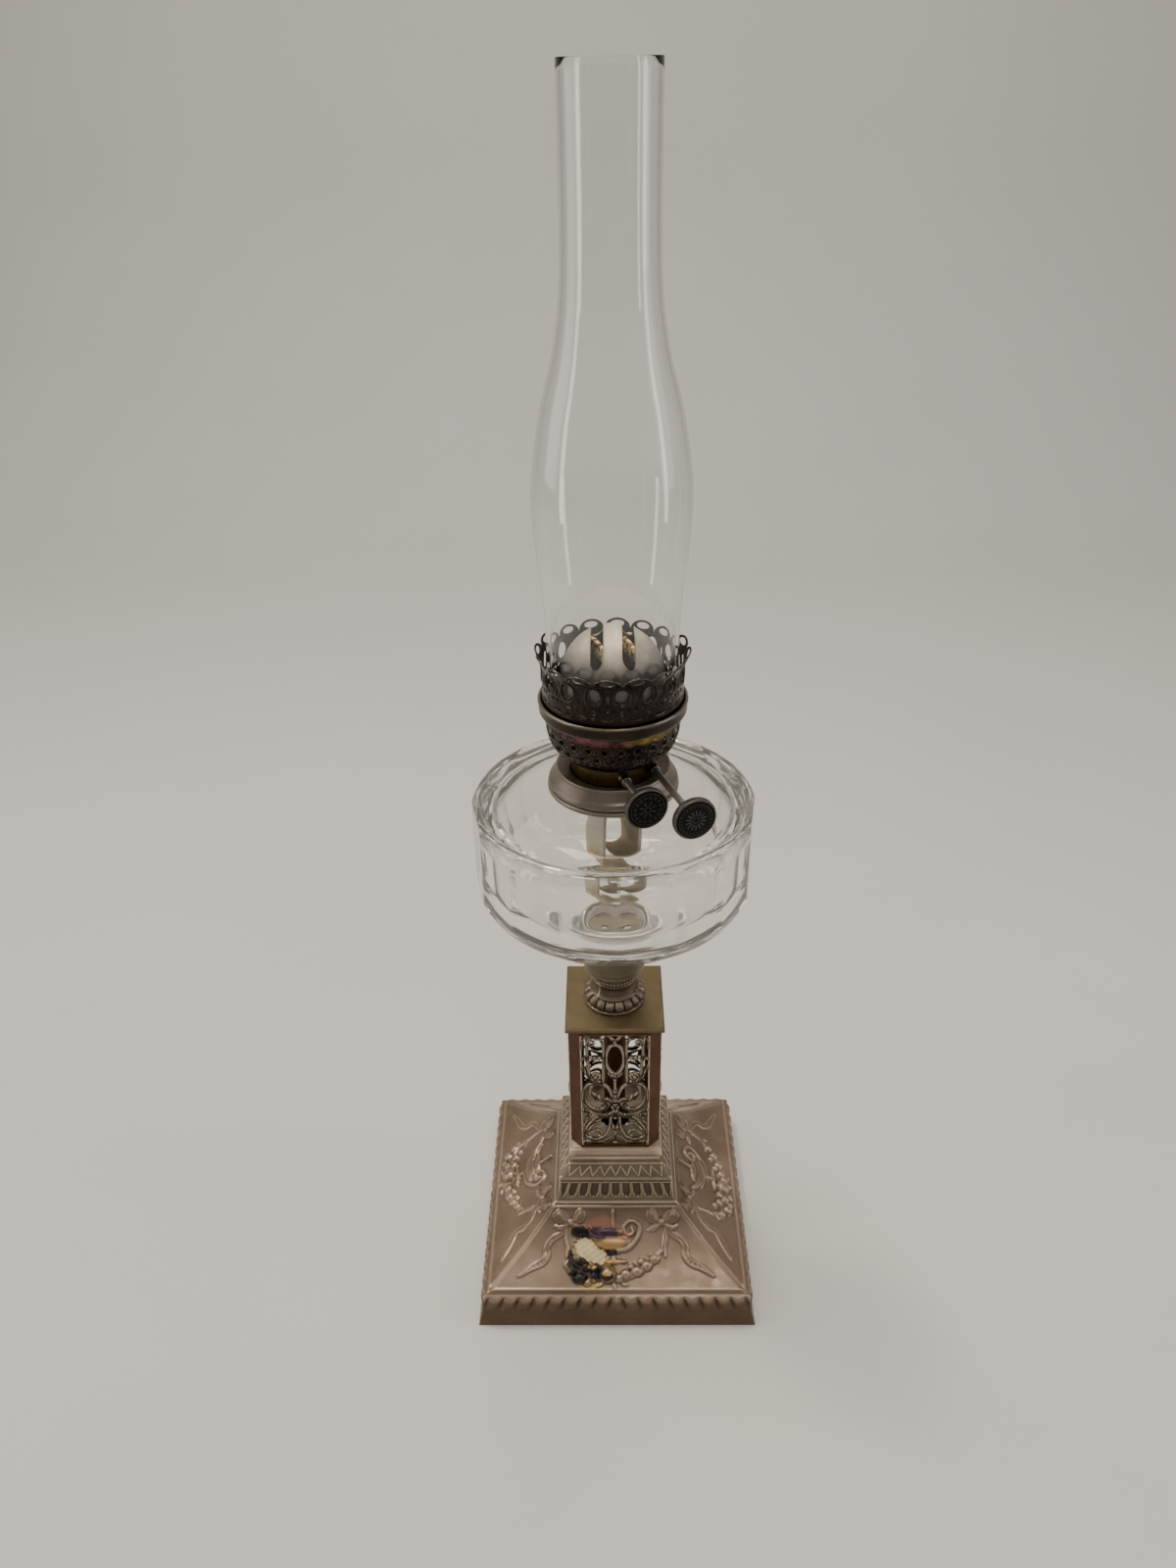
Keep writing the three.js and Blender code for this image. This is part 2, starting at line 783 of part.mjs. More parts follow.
function chimney() {
  const outer = [
    [31.4, SEAT_Z + GAP],
    [30.3, 386],
    [31, 406],
    [33.4, 428],
    [34.5, 449],
    [33.2, 466],
    [23.9, 509],
    [20.8, 530],
    [19.8, 552],
    [19.7, CHIMNEY_TOP_Z],
  ];
  const inner = outer.map(([r, z]) => [r - CHIMNEY_WALL, z]).reverse();
  return turned([...outer, ...inner], 24);
}

add("chimney", chimney(), "glass");

export default lamp;
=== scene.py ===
# An antique duplex oil lamp. Shapes are worked out in millimetres, in the frame of
# the CAD model: +Z up, -Y the front, the origin at the centre of the foot.
import math

import bmesh
import bpy
import numpy as np
from mathutils import Matrix


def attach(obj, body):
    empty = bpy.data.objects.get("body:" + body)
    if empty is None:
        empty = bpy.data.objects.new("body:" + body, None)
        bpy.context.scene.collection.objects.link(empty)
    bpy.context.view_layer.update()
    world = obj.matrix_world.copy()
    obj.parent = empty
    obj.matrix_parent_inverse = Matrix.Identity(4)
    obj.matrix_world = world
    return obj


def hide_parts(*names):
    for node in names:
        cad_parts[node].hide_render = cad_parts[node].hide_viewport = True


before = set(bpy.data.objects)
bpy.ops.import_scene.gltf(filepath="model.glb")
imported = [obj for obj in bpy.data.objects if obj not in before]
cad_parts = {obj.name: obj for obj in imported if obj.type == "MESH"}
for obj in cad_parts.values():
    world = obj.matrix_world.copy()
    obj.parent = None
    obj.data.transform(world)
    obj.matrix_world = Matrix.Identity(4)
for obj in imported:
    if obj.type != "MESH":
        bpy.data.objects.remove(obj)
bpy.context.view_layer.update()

MM = 0.001
TAU = 2 * math.pi

CAMERA_AT = [-0.002874, -0.495985, 0.605455]
CAMERA_TURN = (-0.01894, 0.53927, -0.01776)
LENS_MM = 27.34
SENSOR_MM = 36

GLASS_IOR = 1.5
BURNER_TURN = 20.2
SHAFT_HEIGHT = 324.0
WICK_OFFSET = 8.2
SHAFT_SHIFT = 5.5
SIDES = (("left", -1), ("right", 1))


# ---- Camera ------------------------------------------------------------------

def linked(name, data):
    made = bpy.data.objects.new(name, data)
    bpy.context.collection.objects.link(made)
    return made


def facing(right, up, ahead, at):
    """The matrix of a camera or light at a point, looking ahead."""
    turn = np.eye(4)
    turn[:3, 0], turn[:3, 1], turn[:3, 2], turn[:3, 3] = right, up, -ahead, at
    return Matrix(turn.tolist())


def place_camera():
    data = bpy.data.cameras.new("camera")
    data.sensor_width = SENSOR_MM
    data.lens = LENS_MM
    data.clip_start = 0.01
    camera = linked("camera", data)
    yaw, pitch, roll = CAMERA_TURN
    ahead = np.array([
        math.sin(yaw) * math.cos(pitch),
        math.cos(yaw) * math.cos(pitch),
        -math.sin(pitch),
    ])
    level = np.array([math.cos(yaw), -math.sin(yaw), 0.0])
    up = np.cross(level, ahead)
    right = level * math.cos(roll) + up * math.sin(roll)
    above = up * math.cos(roll) - level * math.sin(roll)
    camera.matrix_world = facing(right, above, ahead, CAMERA_AT)
    bpy.context.scene.camera = camera


place_camera()


# ---- Node materials ----------------------------------------------------------

class Nodes:
    """A material being put together from shader nodes."""

    def __init__(self, name):
        self.material = bpy.data.materials.new(name)
        self.material.use_nodes = True
        self.tree = self.material.node_tree
        self.shader = self.tree.nodes["Principled BSDF"]
        self.output = self.tree.nodes["Material Output"]
        self.place = self.add("ShaderNodeTexCoord").outputs["Object"]

    def add(self, kind, values=None, **settings):
        node = self.tree.nodes.new(kind)
        for key, value in settings.items():
            setattr(node, key, value)
        for key, value in (values or {}).items():
            self.set(node.inputs[key], value)
        return node

    def set(self, socket, value):
        if isinstance(value, bpy.types.NodeSocket):
            self.tree.links.new(value, socket)
        else:
            socket.default_value = value

    def surface(self, **values):
        for key, value in values.items():
            self.set(self.shader.inputs[key.replace("_", " ")], value)

    def scaled(self, scale):
        mapping = self.add("ShaderNodeMapping", {"Vector": self.place, "Scale": scale})
        return mapping.outputs["Vector"]

    def noise(self, scale, detail=4.0, stretch=None, roughness=0.55):
        place = self.scaled(stretch) if stretch else self.place
        values = {"Vector": place, "Scale": scale, "Detail": detail, "Roughness": roughness}
        return self.add("ShaderNodeTexNoise", values).outputs["Fac"]

    def ramp(self, value, low, high, out_low=0.0, out_high=1.0):
        values = {"Value": value, "From Min": low, "From Max": high,
                  "To Min": out_low, "To Max": out_high}
        return self.add("ShaderNodeMapRange", values).outputs["Result"]

    def maths(self, how, a, b):
        node = self.add("ShaderNodeMath", operation=how)
        self.set(node.inputs[0], a)
        self.set(node.inputs[1], b)
        return node.outputs[0]

    def times(self, a, b):
        return self.maths("MULTIPLY", a, b)

    def blend(self, share, a, b):
        node = self.add("ShaderNodeMix", data_type="RGBA")
        self.set(node.inputs["Factor"], share)
        self.set(node.inputs[6], colour(a))
        self.set(node.inputs[7], colour(b))
        return node.outputs[2]

    def attribute(self, name):
        return self.add("ShaderNodeAttribute", attribute_name=name).outputs["Fac"]

    def along(self, axis):
        """The X, Y or Z of a place, in metres."""
        return self.add("ShaderNodeSeparateXYZ", {"Vector": self.place}).outputs[axis]

    def base(self):
        """What the base colour is linked to so far."""
        return self.shader.inputs["Base Color"].links[0].from_socket

    def bump(self, height, strength, depth_mm):
        values = {"Height": height, "Strength": strength, "Distance": depth_mm * MM}
        self.surface(Normal=self.add("ShaderNodeBump", values).outputs["Normal"])

    def edges(self, low, high):
        pointed = self.add("ShaderNodeNewGeometry").outputs["Pointiness"]
        return self.ramp(pointed, low, high)


def colour(value):
    """Three numbers as a colour with full alpha; a socket as it is."""
    return (*value, 1.0) if isinstance(value, tuple) and len(value) == 3 else value


def patina(name, dark, mid, bright, rough=(0.34, 0.56), metal=0.9, wear=0.55, cloud=55, shine=0.5,
           keen=(0.505, 0.56)):
    """Old brass under a brown patina: cloudy, its edges painted bright (partly rubbed wear,
    partly painted highlight) and darker in its creases. A kept CAD node has too few points
    for edges(), so its edges are not painted and its wear setting is 0."""
    n = Nodes(name)
    clouds = n.ramp(n.noise(cloud, 6), 0.25, 0.75)
    specks = n.ramp(n.noise(900, 3), 0.42, 0.7)
    base = n.blend(clouds, dark, mid)
    base = n.blend(n.times(specks, 0.18), base, dark)
    if wear > 0:
        # Edges painted bright: partly rubbed wear, partly painted highlight.
        worn_and_lit = n.times(n.edges(*keen), wear)
        base = n.blend(worn_and_lit, base, bright)
        # Darker in the piece's creases.
        crease_dark = n.times(n.edges(0.495, 0.44), 0.6)
        base = n.blend(crease_dark, base, tuple(c * 0.35 for c in dark))
    else:
        streaks = n.ramp(n.noise(220, 6, (1, 1, 0.35)), 0.55, 0.8, 0.0, 0.22)
        base = n.blend(streaks, base, bright)
    roughness = n.ramp(n.noise(140, 5), 0.3, 0.7, rough[0], rough[1])
    n.surface(Base_Color=base, Metallic=metal, Roughness=roughness, Specular_IOR_Level=shine)
    n.bump(n.noise(700, 5), 0.2, 0.1)
    return n


def clear_glass(name, tint, ripple, stretch, through=0.0):
    """Clear old glass: slightly wavy, and faintly smeared with dust. through is the
    share of light that passes it straight."""
    n = Nodes(name)
    smears = n.ramp(n.noise(40, 5, stretch), 0.5, 0.8, 0.0, 0.03)
    n.surface(Base_Color=colour(tint), Roughness=smears, Metallic=0.0)
    n.surface(IOR=GLASS_IOR, Transmission_Weight=1.0)
    n.bump(n.noise(30, 2, stretch), 0.35, ripple)
    clear = n.add("ShaderNodeBsdfTransparent", {"Color": (0.93, 0.93, 0.91, 1)})
    shadow = n.add("ShaderNodeLightPath").outputs["Is Shadow Ray"]
    mix = n.add("ShaderNodeMixShader")
    n.set(mix.inputs[0], shadow)
    body = n.shader.outputs[0]
    if through:
        straight = n.add("ShaderNodeBsdfTransparent", {"Color": (0.97, 0.95, 0.91, 1)})
        both = n.add("ShaderNodeMixShader", {"Fac": through})
        n.set(both.inputs[1], body)
        n.set(both.inputs[2], straight.outputs[0])
        body = both.outputs[0]
    n.set(mix.inputs[1], body)
    n.set(mix.inputs[2], clear.outputs[0])
    n.set(n.output.inputs["Surface"], mix.outputs[0])
    return n


def foot_metal():
    """The foot's warm patina, with painted shade on its skirt, near the top of its slopes and
    between its gadroons, and painted highlights on the raised lamp and fruit; tarnished round the
    worn-through spot.
    """
    n = patina("foot_patina", (0.170, 0.114, 0.077), (0.368, 0.267, 0.194), (0.66, 0.54, 0.41),
               rough=(0.30, 0.46), metal=0.7, wear=0.6, cloud=26)
    base = n.base()
    z = n.along("Z")
    # Painted shade on the skirt below the gadroons.
    base = n.blend(n.ramp(z, 0.0206, 0.0160, 0.0, 0.78), base, (0.072, 0.042, 0.023))
    # Painted shade near the top of the slopes, under the plinth.
    base = n.blend(n.ramp(z, 0.0400, 0.0490, 0.0, 0.5), base, (0.085, 0.058, 0.040))
    # Painted shade between the gadroons' lobes.
    base = n.blend(n.times(n.attribute("hollow_shade"), 0.6), base, (0.024, 0.016, 0.011))
    ragged = n.maths("ADD", n.ramp(n.noise(210, 5), 0.3, 0.7, -0.30, 0.30),
                     n.ramp(n.noise(800, 3), 0.3, 0.7, -0.12, 0.12))
    for name, tone, low, high, most in [
        ("yellow_stain", (0.33, 0.24, 0.08), 0.25, 0.95, 0.75),
        ("copper_stain", (0.36, 0.175, 0.115), 0.20, 0.90, 0.80),
        ("violet_stain", (0.050, 0.022, 0.045), 0.25, 0.80, 0.92),
        ("black_stain", (0.010, 0.009, 0.012), 0.34, 0.85, 0.92),
        # The amber entry paints highlights on the raised lamp and fruit.
        ("amber_highlight", (0.56, 0.33, 0.15), 0.30, 0.90, 0.90),
    ]:
        share = n.ramp(n.maths("ADD", n.attribute(name), ragged), low, high, 0.0, most)
        base = n.blend(share, base, tone)
    n.surface(Base_Color=base)
    return n.material


def plaster():
    n = Nodes("plaster")
    stain = n.ramp(n.noise(120, 6), 0.4, 0.75)
    base = n.blend(stain, (0.70, 0.58, 0.34), (0.52, 0.40, 0.21))
    n.surface(Base_Color=base, Roughness=0.92)
    n.bump(n.noise(500, 6), 0.6, 0.4)
    return n.material


def heat_tinted(name):
    """Dark burner brass, tinted purple and gold in a narrow band below the gallery."""
    # Its ridges are painted bright by patina(): partly rubbed wear, partly painted highlight.
    n = patina(name, (0.014, 0.009, 0.008), (0.040, 0.028, 0.022), (0.40, 0.33, 0.26),
               rough=(0.20, 0.36), cloud=90, wear=0.85, keen=(0.53, 0.60))
    base = n.base()
    z, x = n.along("Z"), n.along("X")
    band = n.times(n.ramp(z, 0.3452, 0.3466), n.ramp(z, 0.3502, 0.3484))
    patches = n.ramp(n.noise(110, 4), 0.36, 0.66, 0.05, 0.85)
    hue = n.blend(n.ramp(x, 0.001, 0.010), (0.250, 0.085, 0.105), (0.27, 0.185, 0.058))
    far = n.times(n.ramp(x, -0.026, -0.012), n.ramp(x, 0.032, 0.022))
    share = n.times(n.times(band, patches), n.maths("ADD", far, 0.15))
    base = n.blend(share, base, hue)
    low = n.times(n.ramp(z, 0.3300, 0.3285), n.ramp(n.noise(45, 3), 0.35, 0.65, 0.35, 0.85))
    base = n.blend(low, base, (0.150, 0.085, 0.026))
    n.surface(Base_Color=base)
    return n.material


def dome_metal():
    """Greyed, heat-dulled brass with fine brush lines, darker below its top: partly soot, partly
    painted shade.
    """
    n = Nodes("dome_metal")
    lines = n.noise(500, 3, (1.0, 0.06, 0.06))
    clouds = n.ramp(n.noise(70, 5), 0.35, 0.7)
    base = n.blend(clouds, (0.33, 0.285, 0.235), (0.56, 0.480, 0.39))
    base = n.blend(n.ramp(lines, 0.45, 0.62, 0.0, 0.3), base, (0.25, 0.22, 0.195))
    z = n.along("Z")
    # Darker below the top: partly soot, partly painted shade.
    soot_and_shade = n.maths("ADD", n.ramp(z, 0.3905, 0.3762, 0.0, 0.93),
                   n.ramp(n.noise(90, 4), 0.3, 0.7, -0.12, 0.12))
    base = n.blend(soot_and_shade, base, (0.040, 0.038, 0.039))
    n.surface(Base_Color=base, Metallic=0.5)
    n.surface(Roughness=n.ramp(n.noise(180, 4), 0.3, 0.7, 0.46, 0.64))
    n.bump(lines, 0.3, 0.1)
    return n.material


def woven_cotton():
    """Flat lamp wick: a ribbed weave, blotchy, painted paler grey on its upper length as a painted
    reflection of the glass lid over it, crusted with char at its top.
    """
    n = Nodes("woven_cotton")
    z = n.along("Z")
    stain = n.ramp(n.noise(60, 4), 0.4, 0.65)
    base = n.blend(stain, (0.44, 0.37, 0.26), (0.27, 0.22, 0.15))
    base = n.blend(n.ramp(n.attribute("weave"), 0.0, 0.5, 0.6, 0.0), base, (0.14, 0.10, 0.06))
    # Paler grey above z 282 mm: a painted reflection of the glass lid over the wick.
    base = n.blend(n.ramp(z, 0.266, 0.282, 0.0, 0.9), base, (0.40, 0.37, 0.32))
    flakes = n.noise(330, 5)
    char = n.blend(n.ramp(flakes, 0.40, 0.47), (0.020, 0.012, 0.008), (0.36, 0.19, 0.07))
    char = n.blend(n.ramp(flakes, 0.49, 0.57), char, (0.86, 0.66, 0.36))
    base = n.blend(n.ramp(z, 0.3735, 0.3790), base, char)
    n.surface(Base_Color=base, Roughness=0.95)
    n.bump(n.noise(900, 4), 0.8, 0.5)
    return n.material


def dark_disc():
    """Black moulded insert, its raised lines rubbed grey."""
    n = Nodes("black_insert")
    rubbed_and_lit = n.ramp(n.attribute("raised"), 0.45, 0.9, 0.0, 0.85)
    dust = n.ramp(n.noise(500, 5), 0.52, 0.74, 0.0, 0.22)
    base = n.blend(dust, (0.0012, 0.0012, 0.0015), (0.008, 0.008, 0.009))
    base = n.blend(rubbed_and_lit, base, (0.095, 0.094, 0.092))
    n.surface(Base_Color=base, Roughness=n.ramp(n.noise(300, 4), 0.3, 0.7, 0.5, 0.68))
    n.surface(Specular_IOR_Level=0.18)
    n.bump(n.noise(900, 4), 0.2, 0.05)
    return n.material


def felt():
    n = Nodes("felt")
    base = n.blend(n.noise(900, 6), (0.030, 0.045, 0.028), (0.075, 0.095, 0.062))
    n.surface(Base_Color=base, Roughness=1.0)
    n.bump(n.noise(1500, 6), 0.8, 0.5)
    return n.material


def hollow_shaded(name, *tones, **more):
    """A patina with painted shade in the hollows of its ornament."""
    n = patina(name, *tones, **more)
    base = n.base()
    # Painted shade in the hollows.
    n.surface(Base_Color=n.blend(n.times(n.attribute("hollow_shade"), 0.72), base,
                                 (0.085, 0.062, 0.042)))
    return n.material


def rubbed_and_lit(name, *tones, **more):
    """A patina painted bright where the piece says so: a painted highlight."""
    n = patina(name, *tones, **more)
    base = n.base()
    # Painted highlight where the piece's attribute says so.
    n.surface(Base_Color=n.blend(n.times(n.attribute("rubbed_and_lit"), 0.3), base, tones[2]))
    return n.material


PLINTH = hollow_shaded("plinth_bronze", (0.150, 0.112, 0.080), (0.270, 0.207, 0.150),
                  (0.66, 0.56, 0.42), metal=0.7, wear=0.9)
BRONZE = patina("bronze", (0.330, 0.255, 0.190), (0.470, 0.372, 0.282), (0.74, 0.63, 0.49),
                metal=0.7, wear=0.8).material
NECK = patina("neck_bronze", (0.085, 0.065, 0.048), (0.165, 0.130, 0.098), (0.52, 0.44, 0.34),
              wear=0.8).material
OLIVE = patina("olive_bronze", (0.104, 0.079, 0.043), (0.162, 0.124, 0.070), (0.26, 0.20, 0.12),
               rough=(0.36, 0.5), metal=0.75, wear=0, shine=0.3).material
CUP = patina("cup_olive", (0.085, 0.072, 0.046), (0.150, 0.128, 0.084), (0.40, 0.35, 0.25),
             rough=(0.34, 0.5), metal=0.8).material
BROWN = patina("red_brown", (0.047, 0.014, 0.003), (0.094, 0.034, 0.009), (0.14, 0.065, 0.024),
               rough=(0.36, 0.52), metal=0.6, wear=0, shine=0.2).material
# The fret's strands are painted bright along their edges: painted highlights, partly rubbed wear.
FRET = patina("fret_bronze", (0.024, 0.017, 0.012), (0.070, 0.054, 0.041), (0.74, 0.64, 0.50),
              rough=(0.14, 0.28), wear=0.9, keen=(0.515, 0.580)).material
PEWTER = patina("pewter_brown", (0.150, 0.121, 0.100), (0.262, 0.218, 0.184), (0.56, 0.50, 0.43),
                rough=(0.34, 0.50), metal=0.8, wear=0.6, cloud=40).material
SHAFT = patina("shaft_grey", (0.13, 0.115, 0.100), (0.22, 0.195, 0.17), (0.46, 0.42, 0.37),
               rough=(0.34, 0.5), metal=0.8).material
KNOB = patina("knob_dark", (0.030, 0.026, 0.022), (0.062, 0.054, 0.047), (0.40, 0.36, 0.31),
              rough=(0.26, 0.42), metal=0.8, wear=0.45).material
BURNER = heat_tinted("burner_brass")
RING = patina("ring_brass", (0.070, 0.042, 0.014), (0.135, 0.088, 0.034), (0.28, 0.19, 0.08),
              rough=(0.28, 0.44), wear=0).material
CROWN = patina("crown_bronze", (0.014, 0.010, 0.009), (0.038, 0.029, 0.025), (0.34, 0.30, 0.26),
               rough=(0.20, 0.36), wear=0.6, keen=(0.535, 0.61)).material
SOOT = patina("sooty_brass", (0.006, 0.005, 0.005), (0.020, 0.016, 0.014), (0.05, 0.04, 0.03),
              rough=(0.5, 0.7), metal=0.5, wear=0).material
BAND = rubbed_and_lit("band_bronze", (0.022, 0.015, 0.012), (0.042, 0.030, 0.023), (0.62, 0.54, 0.43),
              rough=(0.26, 0.4), wear=0.6)
STEEL = patina("old_steel", (0.20, 0.19, 0.18), (0.36, 0.35, 0.34), (0.6, 0.6, 0.58),
               wear=0).material
DOME = dome_metal()
FOOT = foot_metal()
PLASTER = plaster()
COTTON = woven_cotton()
DISC = dark_disc()
FELT = felt()
FONT_GLASS = clear_glass("font_glass", (1.0, 0.99, 0.965), 0.07, (1, 1, 1),
                         through=0.05).material
CHIMNEY_GLASS = clear_glass("chimney_glass", (0.98, 0.985, 0.975), 0.12, (1, 1, 0.12)).material


# ---- Mesh tools --------------------------------------------------------------

def piece(name, points, faces, materials, body, node, picks=None, facts=None, sharp=32):
    """A mesh object from points in millimetres, riding on a body of the frame."""
    mesh = bpy.data.meshes.new(name)
    mesh.from_pydata((np.asarray(points, float) * MM).tolist(), [], [list(f) for f in faces])
    materials = materials if isinstance(materials, list) else [materials]
    for m in materials:
        mesh.materials.append(m)
    if picks is not None:
        mesh.polygons.foreach_set("material_index", np.asarray(picks, int))
    for key, values in (facts or {}).items():
        layer = mesh.attributes.new(key, "FLOAT", "POINT")
        layer.data.foreach_set("value", np.asarray(values, float))
    work = bmesh.new()
    work.from_mesh(mesh)
    bmesh.ops.remove_doubles(work, verts=work.verts, dist=2e-6)
    bmesh.ops.recalc_face_normals(work, faces=work.faces)
    work.to_mesh(mesh)
    work.free()
    mesh.polygons.foreach_set("use_smooth", [True] * len(mesh.polygons))
    mesh.set_sharp_from_angle(angle=math.radians(sharp))
    made = linked(name, mesh)
    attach(made, body)
    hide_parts(node)
    return made


def grid(across, along):
    return np.meshgrid(across, along, indexing="ij")


def around(r, angle, z):
    """Points at a radius, an angle from the front and a height."""
    return np.stack([r * np.sin(angle), -r * np.cos(angle), z], -1)


def spun(x, y, angle):
    """(x, y) turned about the origin."""
    c, s = math.cos(angle), math.sin(angle)
    return x * c - y * s, x * s + y * c


def bell(value, width):
    return np.exp(-(value / width) ** 2)


def to_whole(value):
    """How far a number is from the nearest whole one."""
    return np.abs(value - np.round(value))


def to_half(value):
    return np.abs(value - np.floor(value) - 0.5)


def step01(value, low, high):
    t = np.clip((value - low) / (high - low), 0, 1)
    return t * t * (3 - 2 * t)


def quads(rows, cols, close_rows, close_cols):
    rr, cc = grid(np.arange(rows if close_rows else rows - 1),
                  np.arange(cols if close_cols else cols - 1))
    nr, nc = (rr + 1) % rows, (cc + 1) % cols
    corners = [rr * cols + cc, rr * cols + nc, nr * cols + nc, nr * cols + cc]
    return np.stack(corners, -1).reshape(-1, 4)


def eased(points, radius=0.5, steps=4):
    """A closed profile with each corner rounded; a third number is its own radius."""
    made = []
    count = len(points)
    for i, point in enumerate(points):
        p = np.array(point[:2], float)
        before = np.array(points[i - 1][:2], float) - p
        after = np.array(points[(i + 1) % count][:2], float) - p
        size = point[2] if len(point) > 2 else radius
        if size <= 0:
            made.append(p)
            continue
        a = before * min(size / np.linalg.norm(before), 0.45)
        b = after * min(size / np.linalg.norm(after), 0.45)
        for k in range(steps + 1):
            t = k / steps
            made.append(p + a * (1 - t) ** 2 + b * t ** 2)
    return np.array(made)


def smooth_line(points, count):
    """A Catmull-Rom curve through points, with evenly spread parameters."""
    p = np.array(points, float)
    p = np.vstack([2 * p[0] - p[1], p, 2 * p[-1] - p[-2]])
    t = np.linspace(0, len(points) - 1 - 1e-9, count)
    i = t.astype(int)
    u = (t - i)[:, None]
    a, b, c, d = p[i], p[i + 1], p[i + 2], p[i + 3]
    return 0.5 * (2 * b + (c - a) * u + (2 * a - 5 * b + 4 * c - d) * u ** 2
                  + (3 * b - a - 3 * c + d) * u ** 3)


def turned(profile, sides, shape=None, axis_ends=False):
    """Points and faces of a profile turned about Z. shape(angle, r, z) may vary it.
    sides is a number of even columns, or the columns' own angles."""
    r, z = np.asarray(profile, float).T
    angle = np.arange(sides) / sides * TAU if isinstance(sides, int) else np.asarray(sides)
    rr, aa = grid(r, angle)
    zz = grid(z, angle)[0]
    if shape:
        rr, zz = shape(aa, rr, zz)
    return around(rr, aa, zz).reshape(-1, 3), quads(len(r), len(angle), not axis_ends, True)


def lathe(name, profile, sides, material, body, node, shape=None, axis_ends=False,
          sign=0, sharp=32):
    """A turned piece. With a sign it lies along that side's winder shaft."""
    points, faces = turned(profile, sides, shape, axis_ends)
    if sign:
        points = on_shaft(points, sign)
    piece(name, points, faces, material, body, node, sharp=sharp)


def squared(profile, per_side, lift=None):
    """Points and faces of a closed profile of [half side, z] swept round a square.
    lift(side, x, row) gives how far each point stands off along its own normal."""
    profile = np.asarray(profile, float)
    ahead = np.roll(profile, -1, 0) - np.roll(profile, 1, 0)
    normal = np.stack([ahead[:, 1], -ahead[:, 0]], 1)
    normal /= np.maximum(np.linalg.norm(normal, axis=1), 1e-9)[:, None]
    t = np.linspace(-1, 1, per_side, endpoint=False)
    points, lifts = [], []
    for row, (half, z) in enumerate(profile):
        for side in range(4):
            x = t * half
            h = lift(side, x, row) if lift else np.zeros(per_side)
            px, py = spun(x, -(half + h * normal[row, 0]), side * math.pi / 2)
            points.append(np.stack([px, py, z + h * normal[row, 1]], 1))
            lifts.append(h)
    faces = quads(len(profile), 4 * per_side, True, True)
    return np.concatenate(points), faces, np.concatenate(lifts)


def pierced(field, across, along, place, wrap=False):
    """A sheet where field > 0. place(x, y, f, front) gives its front and back points.
    field is an array over across (rows) and along (columns)."""
    nx, ny = field.shape
    step = across[1] - across[0]
    keys = {}
    spots = []

    def spot(key, x, y, depth):
        if key not in keys:
            keys[key] = len(spots)
            spots.append((x, y, depth))
        return keys[key]

    def corner(i, j):
        return spot((i % nx, j), across[0] + i * step, along[j], field[i % nx, j])

    def crossing(i, j, k, m):
        """The spot between two corners, kept off both so that no face is a sliver."""
        here, then = field[i % nx, j], field[k % nx, m]
        t = min(max(here / (here - then), 0.04), 0.96)
        key = tuple(sorted([(i % nx, j), (k % nx, m)]))
        return spot(key, across[0] + (i + (k - i) * t) * step,
                    along[j] + (along[m] - along[j]) * t, 0.0)

    faces = []
    inside = field > 0
    for i in range(nx if wrap else nx - 1):
        for j in range(ny - 1):
            loop = [(i, j), (i + 1, j), (i + 1, j + 1), (i, j + 1)]
            held = [inside[a % nx, b] for a, b in loop]
            if not any(held):
                continue
            face = []
            for k in range(4):
                if held[k]:
                    face.append(corner(*loop[k]))
                if held[k] != held[(k + 1) % 4]:
                    face.append(crossing(*loop[k], *loop[(k + 1) % 4]))
            faces.append(face)
    edges = {edge: 1 for face in faces for edge in zip(face, face[1:] + face[:1])}
    x, y, depth = np.array(spots).T
    n = len(spots)
    shell = faces + [[k + n for k in reversed(face)] for face in faces]
    shell += [[b, a, a + n, b + n] for a, b in edges if (b, a) not in edges]
    return np.concatenate([place(x, y, depth, True), place(x, y, depth, False)]), shell


def back_faces(points, faces):
    """1 for each face of a pierced sheet that lies wholly on its back, else 0."""
    n = len(points) // 2
    return [int(min(face) >= n) for face in faces]


def aimed(points, degrees):
    p = np.asarray(points, float)
    return np.stack([*spun(p[:, 0], p[:, 1], math.radians(degrees)), p[:, 2]], 1)


# ---- Relief drawing ----------------------------------------------------------

def to_line(x, y, line, widths):
    """How deep (x, y) lies inside a stroke along line, in mm, and the nearest place
    on it from 0 to 1. widths are the stroke's half widths, spread along it."""
    best = np.full(np.shape(x), -1e9)
    where = np.zeros(np.shape(x))
    count = len(line) - 1
    half = np.interp(np.linspace(0, 1, count + 1), np.linspace(0, 1, len(widths)), widths)
    for k in range(count):
        a, d = line[k], line[k + 1] - line[k]
        t = np.clip(((x - a[0]) * d[0] + (y - a[1]) * d[1]) / max(d @ d, 1e-9), 0, 1)
        far = np.hypot(x - a[0] - t * d[0], y - a[1] - t * d[1])
        deep = half[k] + (half[k + 1] - half[k]) * t - far
        closer = deep > best
        best = np.where(closer, deep, best)
        where = np.where(closer, (k + t) / count, where)
    return best, where


def stroke(x, y, points, widths, count=28):
    return to_line(x, y, smooth_line(points, count), widths)


def dome_of(deep, radius):
    """Height of a round-backed form at a depth inside its outline."""
    d = np.clip(deep, 0, radius)
    return np.sqrt(np.maximum(radius ** 2 - (radius - d) ** 2, 0))


def strand(x, y, line, widths, count, height, radius):
    """A round-backed strand along a line."""
    return height * dome_of(stroke(x, y, line, widths, count)[0], radius)


def mound(x, y, cx, cy, wide, tall, height):
    far = np.sqrt(((x - cx) / wide) ** 2 + ((y - cy) / tall) ** 2)
    return height * np.sqrt(np.maximum(1 - far ** 2, 0))


def ball(x, y, cx, cy, radius, height):
    return height * np.sqrt(np.maximum(radius ** 2 - (x - cx) ** 2 - (y - cy) ** 2, 0))


